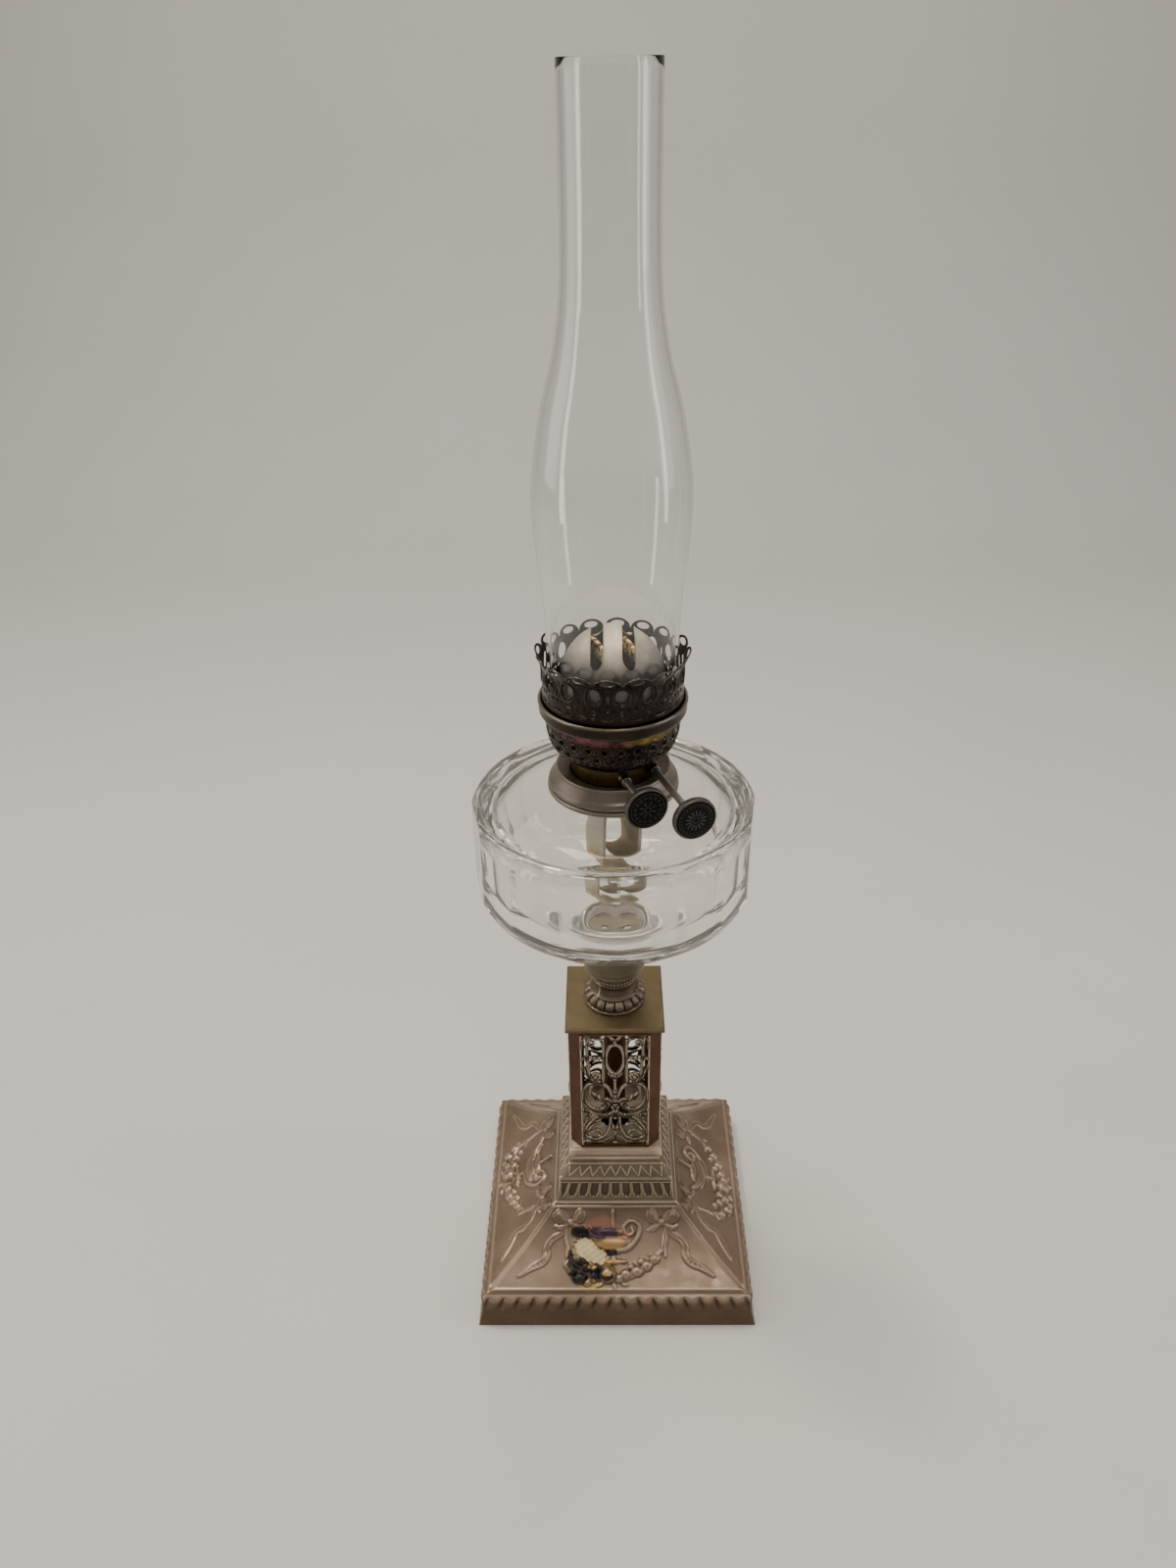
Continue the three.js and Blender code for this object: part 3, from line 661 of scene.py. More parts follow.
TAIL = [(-28.2, 35.2), (-29.9, 31.0), (-36.4, 27.0), (-39.0, 22.8), (-39.0, 18.9), (-41.8, 15.0),
        (-48.0, 12.0), (-54.1, 8.1)]
BOW_LOOPS = [
    [(-26.6, 37.0), (-30.0, 41.6), (-34.0, 42.2), (-35.0, 38.6), (-31.6, 36.0), (-27.4, 36.2)],
    [(-24.6, 37.0), (-21.6, 42.4), (-18.6, 41.8), (-18.4, 38.2), (-21.4, 36.2), (-24.4, 36.2)],
]
BOW_STRANDS = [
    # Points, half widths, steps, height and the rounding of the back.
    ([(-26.8, 35.4), (-31.0, 33.4), (-34.6, 34.4)], [1.2, 1.9, 0.9], 16, 0.8, 1.6),
    ([(-24.6, 35.4), (-21.0, 33.2), (-18.0, 32.0)], [1.2, 1.9, 0.9], 16, 0.8, 1.6),
    ([(-28.0, 33.0), (-28.4, 27.5), (-27.4, 22.5), (-27.6, 18.1)], [0.7, 0.9], 28, 1, 0.9),
    ([(-27.4, 22.5), (-25.6, 20.2), (-22.5, 19.0)], [0.9, 0.3], 14, 1, 0.7),
]
FRUIT = [(-24.8, 10.9, 2.3), (-20.2, 15.6, 1.7), (-20.4, 6.8, 2.9), (-17.1, 12.4, 2.4),
         (-11.3, 11.6, 2.6), (-12.6, 7.4, 2.7), (-16.0, 4.4, 1.9), (-4.8, 8.8, 4.5),
         (1.6, 6.6, 2.2), (5.2, 8.8, 2.6), (11.6, 10.2, 2.8), (17.2, 13.2, 2.6), (14.2, 15.4, 1.7),
         (21.6, 16.6, 2.3), (8.6, 12.6, 1.6)]
SWAG = [(-26.4, 19.6), (-24.6, 12.5), (-15.0, 8.2), (-4.6, 6.6), (6.0, 7.6), (14.0, 10.8),
        (21.0, 15.4), (24.0, 19.6)]
LEAVES = [
    [(21.6, 15.6), (23.5, 16.6), (24.0, 21.6)], [(18.5, 18.6), (23.9, 19.5), (26.0, 22.4)],
    [(26.0, 22.4), (26.9, 26.0), (26.9, 30.3)], [(-2.0, 4.8), (-1.2, 2.6), (-0.6, 0.9)],
    [(2.6, 5.0), (4.4, 3.4), (6.4, 3.4)], [(-7.4, 5.2), (-9.0, 3.2), (-12.0, 2.0)],
    [(-26.6, 16.0), (-28.4, 14.0), (-27.6, 10.6)],
]
LAMP_STRANDS = [
    # Points, half widths and the rounding of the back.
    ([(-12.0, 28.6), (-4.0, 28.9), (6.2, 28.2)], [0.8, 1.0, 0.7], 0.9),
    ([(-8.0, 27.0), (-13.4, 29.2), (-16.8, 33.0)], [2.6, 1.9, 1.4], 1.6),
    ([(-1.6, 32.0), (-1.8, 37.0), (-1.8, 42.1)], [1.5, 1.1, 1.4], 1.3),
    ([(0.0, 21.0), (7.0, 22.6), (12.1, 28.2), (13.5, 33.3), (11.1, 36.6), (7.2, 36.8),
      (4.4, 34.0), (4.9, 30.8), (7.5, 29.5), (9.6, 31.1), (8.7, 33.2)], [1.5, 1.3, 1.2, 0.9], 1.2),
    ([(-1.6, 22.4), (-1.6, 18.1), (-1.3, 15.6)], [2.3, 1.1, 1.9], 1.3),
    ([(-7.3, 14.4), (-0.8, 15.3), (5.6, 15.4)], [0.7, 1.5, 0.8], 1.2),
]
WORN_SPOT = [(-24.4, 23.9), (-22.5, 26.6), (-20.0, 28.1), (-15.5, 28.4), (-13.0, 25.9),
             (-10.1, 23.6), (-7.0, 21.8), (-5.3, 19.2), (-5.7, 15.7), (-7.8, 13.2),
             (-12.5, 14.2), (-17.9, 16.1), (-21.9, 19.4)]
STAINS_AND_HIGHLIGHTS = [
    # Which stain or painted highlight, where it is, its half widths and its strength.
    ("yellow_stain", -13.0, 2.2, 7.5, 3.2, 0.9),
    ("yellow_stain", -4.0, 12.0, 7.5, 5.0, 0.7),
    ("yellow_stain", -16.0, 22.0, 13.5, 9.0, 0.75),
    ("copper_stain", -8.0, 36.4, 8.5, 3.2, 1.1),
    ("copper_stain", -14.8, 32.0, 5.0, 4.2, 0.9),
    ("copper_stain", 4.0, 27.5, 4.0, 5.0, 0.7),
    ("violet_stain", -7.4, 30.4, 9.2, 3.4, 1.3),
    ("violet_stain", -18.0, 30.4, 6.0, 3.2, 1.0),
    ("violet_stain", -10.6, 10.2, 5.0, 4.5, 0.8),
    ("black_stain", -20.4, 30.6, 5.6, 3.8, 1.3),
    ("black_stain", -21.0, 10.4, 6.6, 7.4, 1.4),
    ("black_stain", -12.6, 9.6, 5.4, 4.2, 1.1),
    ("black_stain", -4.8, 8.4, 4.6, 4.2, 1.0),
    ("black_stain", -3.0, 20.4, 3.8, 2.4, 1.2),
    ("black_stain", -25.6, 17.6, 1.8, 6.0, 1.0),
    # Amber: painted highlights on the raised lamp, its foot and the fruit.
    ("amber_highlight", -2.3, 24.6, 8.0, 2.7, 1.4),
    ("amber_highlight", -5.0, 9.2, 2.8, 1.8, 1.2),
    ("amber_highlight", -1.0, 15.2, 6.5, 1.5, 1.2),
    ("amber_highlight", -13.4, 12.2, 2.6, 1.4, 0.9),
]


def relief(x, y):
    """Height of the cast ornament on one slope: x across, y up the slope."""
    parts = [np.zeros(np.shape(x))]
    for mx in (x, -x):
        deep, where = stroke(mx, y, TAIL, [1.0, 1.9, 2.0, 2.3, 1.2], 60)
        band = 0.8 * step01(deep, 0, 0.6) + 0.3 * step01(deep, 0.8, 0.0) * step01(deep, 0, 0.3)
        fold = 0.3 * np.sin(where * 22) * step01(deep, 0, 0.9)
        dots = (0.5 + 0.5 * np.cos(where * TAU * 18)) * step01(deep, 1.1, 1.6) * 0.3
        parts.append(band + fold * 0.5 - dots * (where > 0.25))
        for loop in BOW_LOOPS:
            edge, _ = to_line(mx, y, smooth_line([*loop, loop[0]], 30), [0.9])
            parts.append(1.25 * dome_of(inside(mx, y, loop), 2.4) * 0.62)
            parts.append(1.25 * dome_of(edge, 0.9))
        parts += [strand(mx, y, *one) for one in BOW_STRANDS]
        parts.append(ball(mx, y, -25.7, 36.4, 2.1, 1.0))
    parts.append(strand(x, y, SWAG, [0.7, 1.8, 2.2, 1.8, 0.7], 40, 0.7, 1.4))
    for cx, cy, radius in FRUIT:
        pit = 0.35 * np.exp(-(((x - cx - 0.3) ** 2 + (y - cy + 0.4) ** 2) / 0.3))
        parts.append(ball(x, y, cx, cy, radius * 1.1, 0.85) - pit)
    parts += [strand(x, y, leaf, [0.5, 1.1, 0.3], 10, 0.9, 1.0) for leaf in LEAVES]
    parts.append(mound(x, y, -2.2, 25.4, 10.6, 4.1, 2.4))
    parts.append(mound(x, y, -3.0, 31.0, 7.4, 2.4, 1.9))
    parts += [strand(x, y, line, widths, 28, 1.3, radius) for line, widths, radius in LAMP_STRANDS]
    return np.maximum.reduce(parts)


def inside(x, y, outline):
    """Signed distance to a closed outline: positive inside."""
    line = np.array([*outline, outline[0]], float)
    edge, _ = to_line(x, y, smooth_line(line, 60), [0.0])
    crossings = np.zeros(np.shape(x), int)
    for (ax, ay), (bx, by) in zip(line[:-1], line[1:]):
        over = (ay > y) != (by > y)
        at = ax + (y - ay) / np.where(abs(by - ay) < 1e-9, 1e-9, by - ay) * (bx - ax)
        crossings += (over & (x < at)).astype(int)
    return np.where(crossings % 2 == 1, -edge, edge)


# ---- Foot --------------------------------------------------------------------

SLOPE_LOW = np.array([71.8, 22.0])
SLOPE_HIGH = np.array([36.0, 49.3])
SLOPE_LENGTH = float(np.linalg.norm(SLOPE_HIGH - SLOPE_LOW))
SLOPE_ROWS = 78
GADROONS = 17
GADROON_ROWS = range(4, 20)
FOOT_COLUMNS = 216


def worn_depth(x, y):
    """How deep a place on the front slope lies inside the worn-through spot."""
    ragged = 0.45 * np.sin(x * 2.3 + y * 1.7) + 0.3 * np.sin(x * 4.1 - y * 3.3)
    return inside(x, y, WORN_SPOT) + ragged


def slope_point(v):
    sag = 1.7 * math.sin(math.pi * v)
    along = SLOPE_LOW + (SLOPE_HIGH - SLOPE_LOW) * v
    return along + np.array([-0.606, -0.795]) * sag


def make_foot():
    skirt = [(77.5, 0.3), (77.5, 0.9), (76.7, 4.0), (75.9, 7.5)]
    skirt += [(75.5 - 0.9 * t, 9.0 + 10.2 * t) for t in np.linspace(0, 1, 16)]
    skirt += [(74.1, 20.1), (73.5, 20.5), (72.9, 20.7), (72.5, 21.1), (72.1, 21.6)]
    first = len(skirt)
    slope = [tuple(slope_point(v)) for v in np.linspace(0, 1, SLOPE_ROWS)]
    inner = [(33.0, 49.3), (29.6, 49.3), (29.4, 48.6), (34.6, 47.6), (51.5, 31.6), (70.0, 20.4),
             (73.0, 18.0), (73.2, 9.0), (75.8, 1.0), (76.1, 0.3)]
    profile = np.array(skirt + slope + inner)

    def lift(side, x, row):
        half, z = profile[row]
        near = half - np.abs(x)
        if first <= row < first + SLOPE_ROWS:
            v = (row - first) / (SLOPE_ROWS - 1)
            y = np.full(x.shape, v * SLOPE_LENGTH)
            fade = step01(near, 0.2, 2.0) * step01(v, 0, 0.02) * step01(v, 1, 0.98)
            hip = -0.75 * bell(near, 1.5)
            line = 0.6 * bell(v * SLOPE_LENGTH - 0.9, 0.45)
            line += 0.3 * bell(SLOPE_LENGTH * (1 - v) - 1.0, 0.6)
            high = relief(x, y) * fade * 0.95 + hip + line * step01(near, 0.2, 1.5)
            if side == 0:
                deep = worn_depth(x, y)
                low = -0.75 + 0.2 * np.sin(x * 1.3) * np.sin(y * 1.9)
                share = step01(deep, -0.15, 0.35)
                curled = 0.35 * bell(deep + 0.5, 0.5)
                high = high * (1 - share) + low * share + curled * (1 - share)
            return high
        if row in GADROON_ROWS:
            slant = np.sign(x) * 0.25 * (z - 14)
            pitch = 2 * half / (GADROONS + 0.3)
            lobe = 1 - (2 * to_whole((x + slant) / pitch)) ** 2.2
            fade = step01(z, 8.8, 15.5) * np.sqrt(np.clip((20.6 - z) / 2.4, 0, 1))
            return (2.1 * lobe - 0.75) * fade * step01(near, 0.4, 2.6)
        return np.zeros(x.shape)

    points, faces, lifts = squared(profile, FOOT_COLUMNS, lift)
    x = points[:, 0]
    row = np.repeat(np.arange(len(profile)), 4 * FOOT_COLUMNS)
    side = np.tile(np.repeat(np.arange(4), FOOT_COLUMNS), len(profile))
    v = np.clip((row - first) / (SLOPE_ROWS - 1), -0.2, 1.2) * SLOPE_LENGTH
    front = (side == 0) & (row >= first) & (row < first + SLOPE_ROWS)
    bare = front & (worn_depth(x, v) > 0.1)
    skirt_lift = np.where(np.isin(row, GADROON_ROWS), lifts, 0)
    # Painted shade between the gadroons' lobes, kept with the stains.
    stains_and_light = {"hollow_shade": step01(-skirt_lift, 0.0, 0.45)}
    for kind, cx, cy, wide, high, strength in STAINS_AND_HIGHLIGHTS:
        spot = strength * np.exp(-(((x - cx) / wide) ** 2 + ((v - cy) / high) ** 2) ** 1.6)
        stains_and_light[kind] = np.maximum(stains_and_light.get(kind, 0.0), np.where(front, spot, 0))
    piece("foot_shell", points, faces, [FOOT, PLASTER], "stand", "base_shell",
          picks=bare[np.asarray(faces)].all(1), facts=stains_and_light, sharp=60)


make_foot()


# ---- Plinth and column -------------------------------------------------------

FRIEZE_HALF, FRIEZE_LEAN = 32.95, 1.05
FRIEZE_LOW, FRIEZE_TALL = 53.2, 10.4
FRIEZE_POSTS = 10
BAND_TEETH = 9


def make_plinth():
    frieze = [(FRIEZE_HALF - FRIEZE_LEAN * t, FRIEZE_LOW + FRIEZE_TALL * t)
              for t in np.linspace(0, 1, 18)]
    band = [(31.3 - 5.0 * t, 67.4 + 5.6 * t) for t in np.linspace(0, 1, 20)]
    low = [(34.0, 49.7), (34.9, 49.9), (35.0, 50.4), (34.7, 50.9), (33.9, 51.2), (33.3, 51.9),
           (33.1, 52.6)]
    ledge = [(31.8, 64.0), (31.2, 64.5), (31.2, 65.2), (31.9, 65.7), (32.0, 66.4), (31.8, 66.9)]
    top = [(26.1, 73.4), (25.6, 73.6), (25.1, 74.3), (25.0, 77.0), (8.0, 77.0), (8.0, 74.0),
           (22.5, 73.0), (28.4, 63.0), (28.4, 49.7)]
    profile = np.array(low + frieze + ledge + band + top)
    start = len(low)
    zigs = start + len(frieze) + len(ledge)

    def post(x, t):
        """How far a place at share t of the frieze lies inside one of its leaning posts."""
        pitch = 2 * 30.2 / FRIEZE_POSTS
        phase = x / pitch + 0.5 + 0.5 * (t - 0.5) * np.clip(x / 30, -1, 1)
        return 1.0 + 0.7 * bell(t - 0.08, 0.14) - to_whole(phase) * pitch

    def lift(side, x, row):
        half, z = profile[row]
        if start <= row < start + len(frieze):
            t = (z - FRIEZE_LOW) / FRIEZE_TALL
            flat = step01(post(x, t), -0.5, 0.35)
            ends = step01(np.full(x.shape, t), 0.06, 0.0) + step01(np.full(x.shape, t), 0.94, 1.0)
            flat = np.maximum(flat, np.clip(ends, 0, 1))
            return -1.1 * (1 - flat) * (np.abs(x) < 30.8)
        if zigs <= row < zigs + len(band):
            t = (row - zigs) / (len(band) - 1)
            pitch = 2 * (half - 1.4) / BAND_TEETH
            zig = 2 * to_half(x / pitch + 0.5)
            line = np.abs(t - (0.10 + 0.72 * zig)) * 4.6
            ridge = 0.6 * step01(line, 0.62, 0.2)
            fill = 0.28 * step01(0.10 + 0.72 * zig - t, 0.0, 0.1) * step01(t, 0.03, 0.1)
            ridge = np.maximum(ridge, fill) * step01(half - np.abs(x), 0.9, 1.6)
            border = 0.35 * (step01(t, 0.10, 0.03) + step01(t, 0.90, 0.97))
            return np.maximum(ridge, border)
        return np.zeros(x.shape)

    points, faces, _ = squared(profile, 150, lift)
    z = points[:, 2]
    spread = np.max(np.abs(points[:, :2]), axis=1)
    rest = FRIEZE_HALF - FRIEZE_LEAN * (z - FRIEZE_LOW) / FRIEZE_TALL
    # Painted shade in the frieze's hollows.
    hollow_shade = np.where((z > 53.3) & (z < 63.5), step01(rest - spread, 0.3, 1.0), 0)
    piece("plinth", points, faces, PLINTH, "stand", "plinth_block",
          facts={"hollow_shade": hollow_shade}, sharp=50)


def make_column_foot():
    bulge = []
    for a in np.linspace(-88, 88, 18):
        a = math.radians(a)
        bulge.append((24.7 + 1.5 * math.cos(a) ** 0.8, 80.4 + 2.9 * math.sin(a)))
    profile = np.array([(24.2, 77.3), *bulge, (24.4, 83.6), (24.2, 84.2), (8.0, 84.2), (8.0, 77.3)])
    points, faces, _ = squared(profile, 24)
    piece("column_moulding", points, faces, BRONZE, "stand", "column_foot", sharp=40)


FRET_STROKES = [
    # Each stroke: its points, its half widths and its greatest height. x is mirrored.
    ([(0.0, 35.8), (-1.8, 37.5), (-3.4, 40.0)], [0.9, 0.8, 0.6], 0.8),
    ([(-3.4, 40.0), (-4.8, 39.6), (-6.0, 40.0)], [0.6, 0.6], 0.6),
    ([(-3.1, 12.5), (-1.8, 10.6), (0.0, 9.8)], [0.8, 0.9, 0.9], 0.8),
    ([(0.0, 10.5), (0.0, -1.0), (0.0, -12.0), (0.0, -20.5)], [0.8, 0.65, 0.75, 0.7], 0.9),
    ([(-2.4, -20.5), (-2.0, -25.0), (-0.2, -30.5)], [0.6, 0.65, 0.6], 0.7),
    ([(0.0, -29.6), (0.0, -35.0)], [0.6, 0.7], 0.7),
    ([(-6.6, 36.5), (-6.2, 30.0), (-6.3, 20.0), (-6.4, 12.0), (-6.6, 6.6)], [0.75, 0.8, 0.8], 0.9),
    ([(-15.0, 33.0), (-14.9, 27.0), (-14.6, 23.0), (-14.4, 16.0), (-13.6, 10.6), (-11.6, 7.2),
      (-9.0, 6.4), (-6.6, 6.6)], [0.8, 0.85, 0.85, 0.8], 0.9),
    ([(-14.9, 32.0), (-14.7, 36.0), (-12.6, 38.2), (-9.8, 38.3), (-7.6, 36.6), (-6.6, 33.5)],
     [0.8, 0.8], 0.9),
    ([(-17.4, 31.6), (-17.0, 37.2), (-14.4, 39.4), (-9.0, 39.3), (-6.0, 40.0)], [0.55, 0.6], 0.6),
    ([(-14.6, 35.5), (-13.6, 33.2), (-11.6, 33.4), (-11.3, 35.2), (-12.7, 35.8)],
     [0.7, 0.7, 0.6], 0.8),
    ([(-17.8, 24.0), (-12.0, 24.2), (-6.4, 24.0)], [0.65, 0.75, 0.7], 0.8),
    ([(-17.6, 18.8), (-16.2, 13.9), (-14.2, 9.6), (-11.6, 6.6)], [0.65, 0.75, 0.75], 0.7),
    ([(-13.0, 8.4), (-12.9, 10.6), (-11.0, 12.6), (-8.8, 12.0), (-8.4, 10.0), (-9.8, 8.6),
      (-11.2, 9.4), (-10.6, 10.6)], [0.7, 0.75, 0.7, 0.5], 0.9),
    ([(-1.6, -4.6), (-3.2, 0.6), (-5.6, 3.9), (-8.6, 5.1), (-11.6, 4.4), (-13.2, 1.2),
      (-13.5, -2.2), (-12.2, -5.4), (-10.4, -6.9), (-8.8, -5.4), (-9.4, -3.8)],
     [0.7, 0.9, 1.0, 0.9, 0.8, 0.5], 1.1),
    ([(-9.6, 6.4), (-13.0, 5.6), (-16.0, 3.2), (-17.0, -2.4), (-16.2, -8.4), (-13.2, -13.0),
      (-9.4, -14.6), (-6.0, -13.2), (-3.9, -10.6), (-4.6, -8.4), (-6.4, -8.2), (-6.6, -9.8)],
     [0.6, 0.8, 1.1, 1.15, 1.2, 1.0, 0.7], 1.2),
    ([(-7.4, -7.3), (-4.3, -6.6), (-1.2, -8.8)], [0.6, 0.75, 0.7], 0.8),
    ([(-5.4, -7.4), (-8.0, -7.2), (-10.4, -4.4), (-12.8, -1.4)], [0.6, 0.95, 1.05, 0.5], 0.9),
    ([(-13.9, -15.6), (-9.2, -17.9), (-4.4, -18.8), (-0.6, -16.0)], [0.5, 0.9, 1.1, 0.7], 0.9),
    ([(-17.6, -13.6), (-15.4, -16.4), (-14.6, -19.8), (-15.4, -22.4), (-17.0, -24.6)],
     [0.6, 1.3, 1.1, 0.8, 0.6], 0.9),
    ([(-15.2, -27.0), (-11.6, -22.2), (-8.0, -20.0), (-4.6, -19.6)], [0.5, 1.2, 1.4, 0.9], 1.0),
    ([(-14.8, -29.6), (-12.4, -26.6), (-9.2, -25.2), (-6.2, -25.8)], [0.5, 0.9, 1.0, 0.5], 0.9),
    ([(-14.8, -32.8), (-11.6, -31.0), (-9.0, -31.0), (-7.6, -33.0), (-9.2, -34.6)],
     [0.5, 1.0, 0.9, 0.6], 0.9),
    ([(-1.0, -16.4), (-2.4, -21.0), (-2.7, -25.4), (-3.6, -29.8), (-6.0, -34.8), (-9.6, -37.4),
      (-13.2, -37.0), (-16.2, -35.0), (-16.9, -31.4), (-15.6, -27.0), (-12.6, -23.0)],
     [0.7, 0.8, 0.8, 0.9, 1.0, 1.0, 0.9, 0.8, 0.7], 1.1),
    ([(-17.8, -38.9), (-10.0, -39.3), (-6.6, -38.8), (-2.8, -35.9), (0.0, -34.6)],
     [0.7, 0.75, 0.75, 0.8, 0.9], 0.8),
    ([(0.0, -37.4), (-2.4, -38.6), (-5.0, -39.4)], [1.5, 1.1, 0.5], 0.5),
]
FRET_BEADS = [(0, 8.3, 1.0), (0, -0.4, 1.3), (0, -3.6, 1.3), (0, -7.2, 1.3), (0, -9.8, 1.6),
              (1.4, -12.6, 0.9), (0, -15.0, 1.6), (0, -19.9, 1.6), (0, -31.0, 1.1), (0, -33.0, 0.9),
              (16.4, 24.0, 1.3), (13.4, 24.6, 1.3), (11.0, 24.0, 1.5), (8.6, 24.1, 1.3),
              (10.4, 9.9, 0.9), (8.4, 7.0, 1.0), (5.5, -10.5, 0.9), (16.0, -16.6, 1.4),
              (15.2, -20.2, 1.1), (0, 35.9, 1.3)]


def fret_field(x, y):
    """Depth inside the fret's strands, and their rounded height."""
    deep = np.full(x.shape, -9.0)
    high = np.zeros(x.shape)
    mx = -np.abs(x)
    for points, widths, top in FRET_STROKES:
        inner, _ = stroke(mx, y, points, [w + 0.06 for w in widths], 36)
        deep = np.maximum(deep, inner)
        high = np.maximum(high, top * dome_of(inner, 0.85))
    for cx, cy, radius in FRET_BEADS:
        inner = radius - np.hypot(np.abs(x) - cx, y - cy)
        deep = np.maximum(deep, inner)
        high = np.maximum(high, 1.05 * dome_of(inner, radius))
    wide, tall = 4.75, 10.4
    round_it = np.hypot(x / wide, (y - 22.9) / tall)
    steep = np.hypot(x / wide ** 2, (y - 22.9) / tall ** 2) / np.maximum(round_it, 1e-6)
    ring = 0.8 - np.abs(round_it - 1) / np.maximum(steep, 1e-6)
    border = np.maximum(np.abs(x) - 17.75, np.abs(y) - 39.6)
    high = np.maximum.reduce([high, dome_of(ring, 0.85), 0.6 * dome_of(border, 0.5)])
    return np.maximum.reduce([deep, ring, border]), high


def make_frets():
    """The frets' outer strands lie just in front of the casing; the rest is let into it."""
    half, tall, step = 18.6, 40.5, 0.34
    across = np.linspace(-half, half, round(2 * half / step) + 1)
    along = np.linspace(-tall, tall, round(2 * tall / step) + 1)
    deep, _ = fret_field(*grid(across, along))

    def place(x, y, f, front):
        _, high = fret_field(x, y)
        proud = step01(np.abs(x), 16.9, 17.6)
        out = 23.95 + high + 0.95 * proud if front else 23.3 + 1.58 * proud
        return np.stack([x, -out * np.ones(x.shape), y + 127.8], 1)

    points, faces = pierced(deep, across, along, place)
    for k, name in enumerate(["front", "right", "back", "left"]):
        piece(f"fret_{name}", aimed(points, 90 * k), faces, FRET, "stand",
              f"fret_panel_{name}", sharp=48)


LOBES = 18
BEADS = 42


def make_neck():
    profile = eased([(3.3, 174.4), (15.4, 174.4, 0.2), (16.4, 174.7, 0.3), (16.5, 175.5, 0.3),
                     (15.6, 175.9, 0.2), (16.2, 176.6, 0.7), (16.6, 178.2, 1.0), (16.0, 180.0, 1.0),
                     (14.0, 181.4, 0.8), (11.5, 181.6, 0.3), (3.3, 181.6)], 0.3, 6)

    def lobes(angle, r, z):
        lobe = np.sqrt(np.maximum(1 - (2 * to_whole(angle / TAU * LOBES + 0.5)) ** 2, 0))
        share = step01(r, 9.5, 13.0) * step01(z, 175.7, 176.3)
        return r - 1.9 * (1 - lobe) * share, z - 0.7 * (1 - lobe) * share * step01(z, 178.0, 180.0)

    points, faces = turned(profile, 360, lobes)
    points[:, 2] = np.minimum(points[:, 2], 181.5)
    piece("gadroon_ring", points, faces, NECK, "stand", "gadroon_collar", sharp=50)

    profile = eased([(3.3, 181.7), (13.3, 181.7), (13.2, 182.3), (11.6, 183.0, 1), (10.9, 186.0, 2),
                     (11.3, 188.8, 1), (12.2, 189.6), (12.2, 190.0), (11.6, 190.3), (11.6, 192.9),
                     (12.0, 193.2), (11.4, 194.0), (10.9, 195.0), (3.3, 195.0)], 0.3, 4)

    def beads(angle, r, z):
        phase = angle / TAU * BEADS
        along = (phase - np.round(phase)) * TAU / BEADS * 12.0
        bead = np.sqrt(np.maximum(0.92 ** 2 - along ** 2 - ((z - 191.6) * 0.8) ** 2, 0))
        return np.where(r > 10.5, r + 0.9 * bead, r), z

    fine = np.array([p for a, b in zip(profile, np.roll(profile, -1, 0))
                     for p in (a, *(a + (b - a) * t for t in np.linspace(0, 1, 13)[1:-1]
                                    if min(a[0], b[0]) > 11.3 and abs(b[1] - a[1]) > 1.5))])
    lathe("neck_beads", fine, 420, NECK, "stand", "beaded_neck", beads, sharp=50)

    cup = eased([(3.3, 195.3), (12.2, 195.3), (12.9, 196.0), (15.9, 197.0, 0.6), (16.3, 198.2, 0.6),
                 (16.2, 199.4, 0.4), (16.6, 200.2, 0.4), (17.0, 208.0, 2), (18.5, 214.0, 0.6),
                 (18.3, 214.8, 0.3), (17.3, 214.8, 0.3), (16.0, 210.0, 2), (16.0, 200.3),
                 (3.3, 200.3)], 0.4, 5)
    lathe("cup", cup, 128, CUP, "stand", "font_cup")


make_plinth()
make_column_foot()
make_frets()
make_neck()


# ---- Font --------------------------------------------------------------------

FACETS = 16
FACET_TURN = math.radians(1.5)
APOTHEM = 68.1


def facet_columns(per_side):
    """Angles of the font's columns, gathered towards the edges between its facets."""
    t = np.linspace(-1, 1, per_side, endpoint=False)
    near = np.sign(t) * (1 - (1 - np.abs(t)) ** 1.5)
    near[0] = -1.0
    wide = TAU / FACETS
    return np.concatenate([FACET_TURN + wide * (k + 0.5 + near / 2) for k in range(FACETS)])


def facet_radius(angle):
    """How far the flat facets stand from the axis, with slightly rounded edges."""
    wide = TAU / FACETS
    off = np.mod(angle - FACET_TURN, wide)
    from_edge = np.minimum(off, wide - off)
    flat = APOTHEM / np.cos(wide / 2 - from_edge)
    return flat - 0.22 * np.exp(-from_edge * 69 / 0.45)


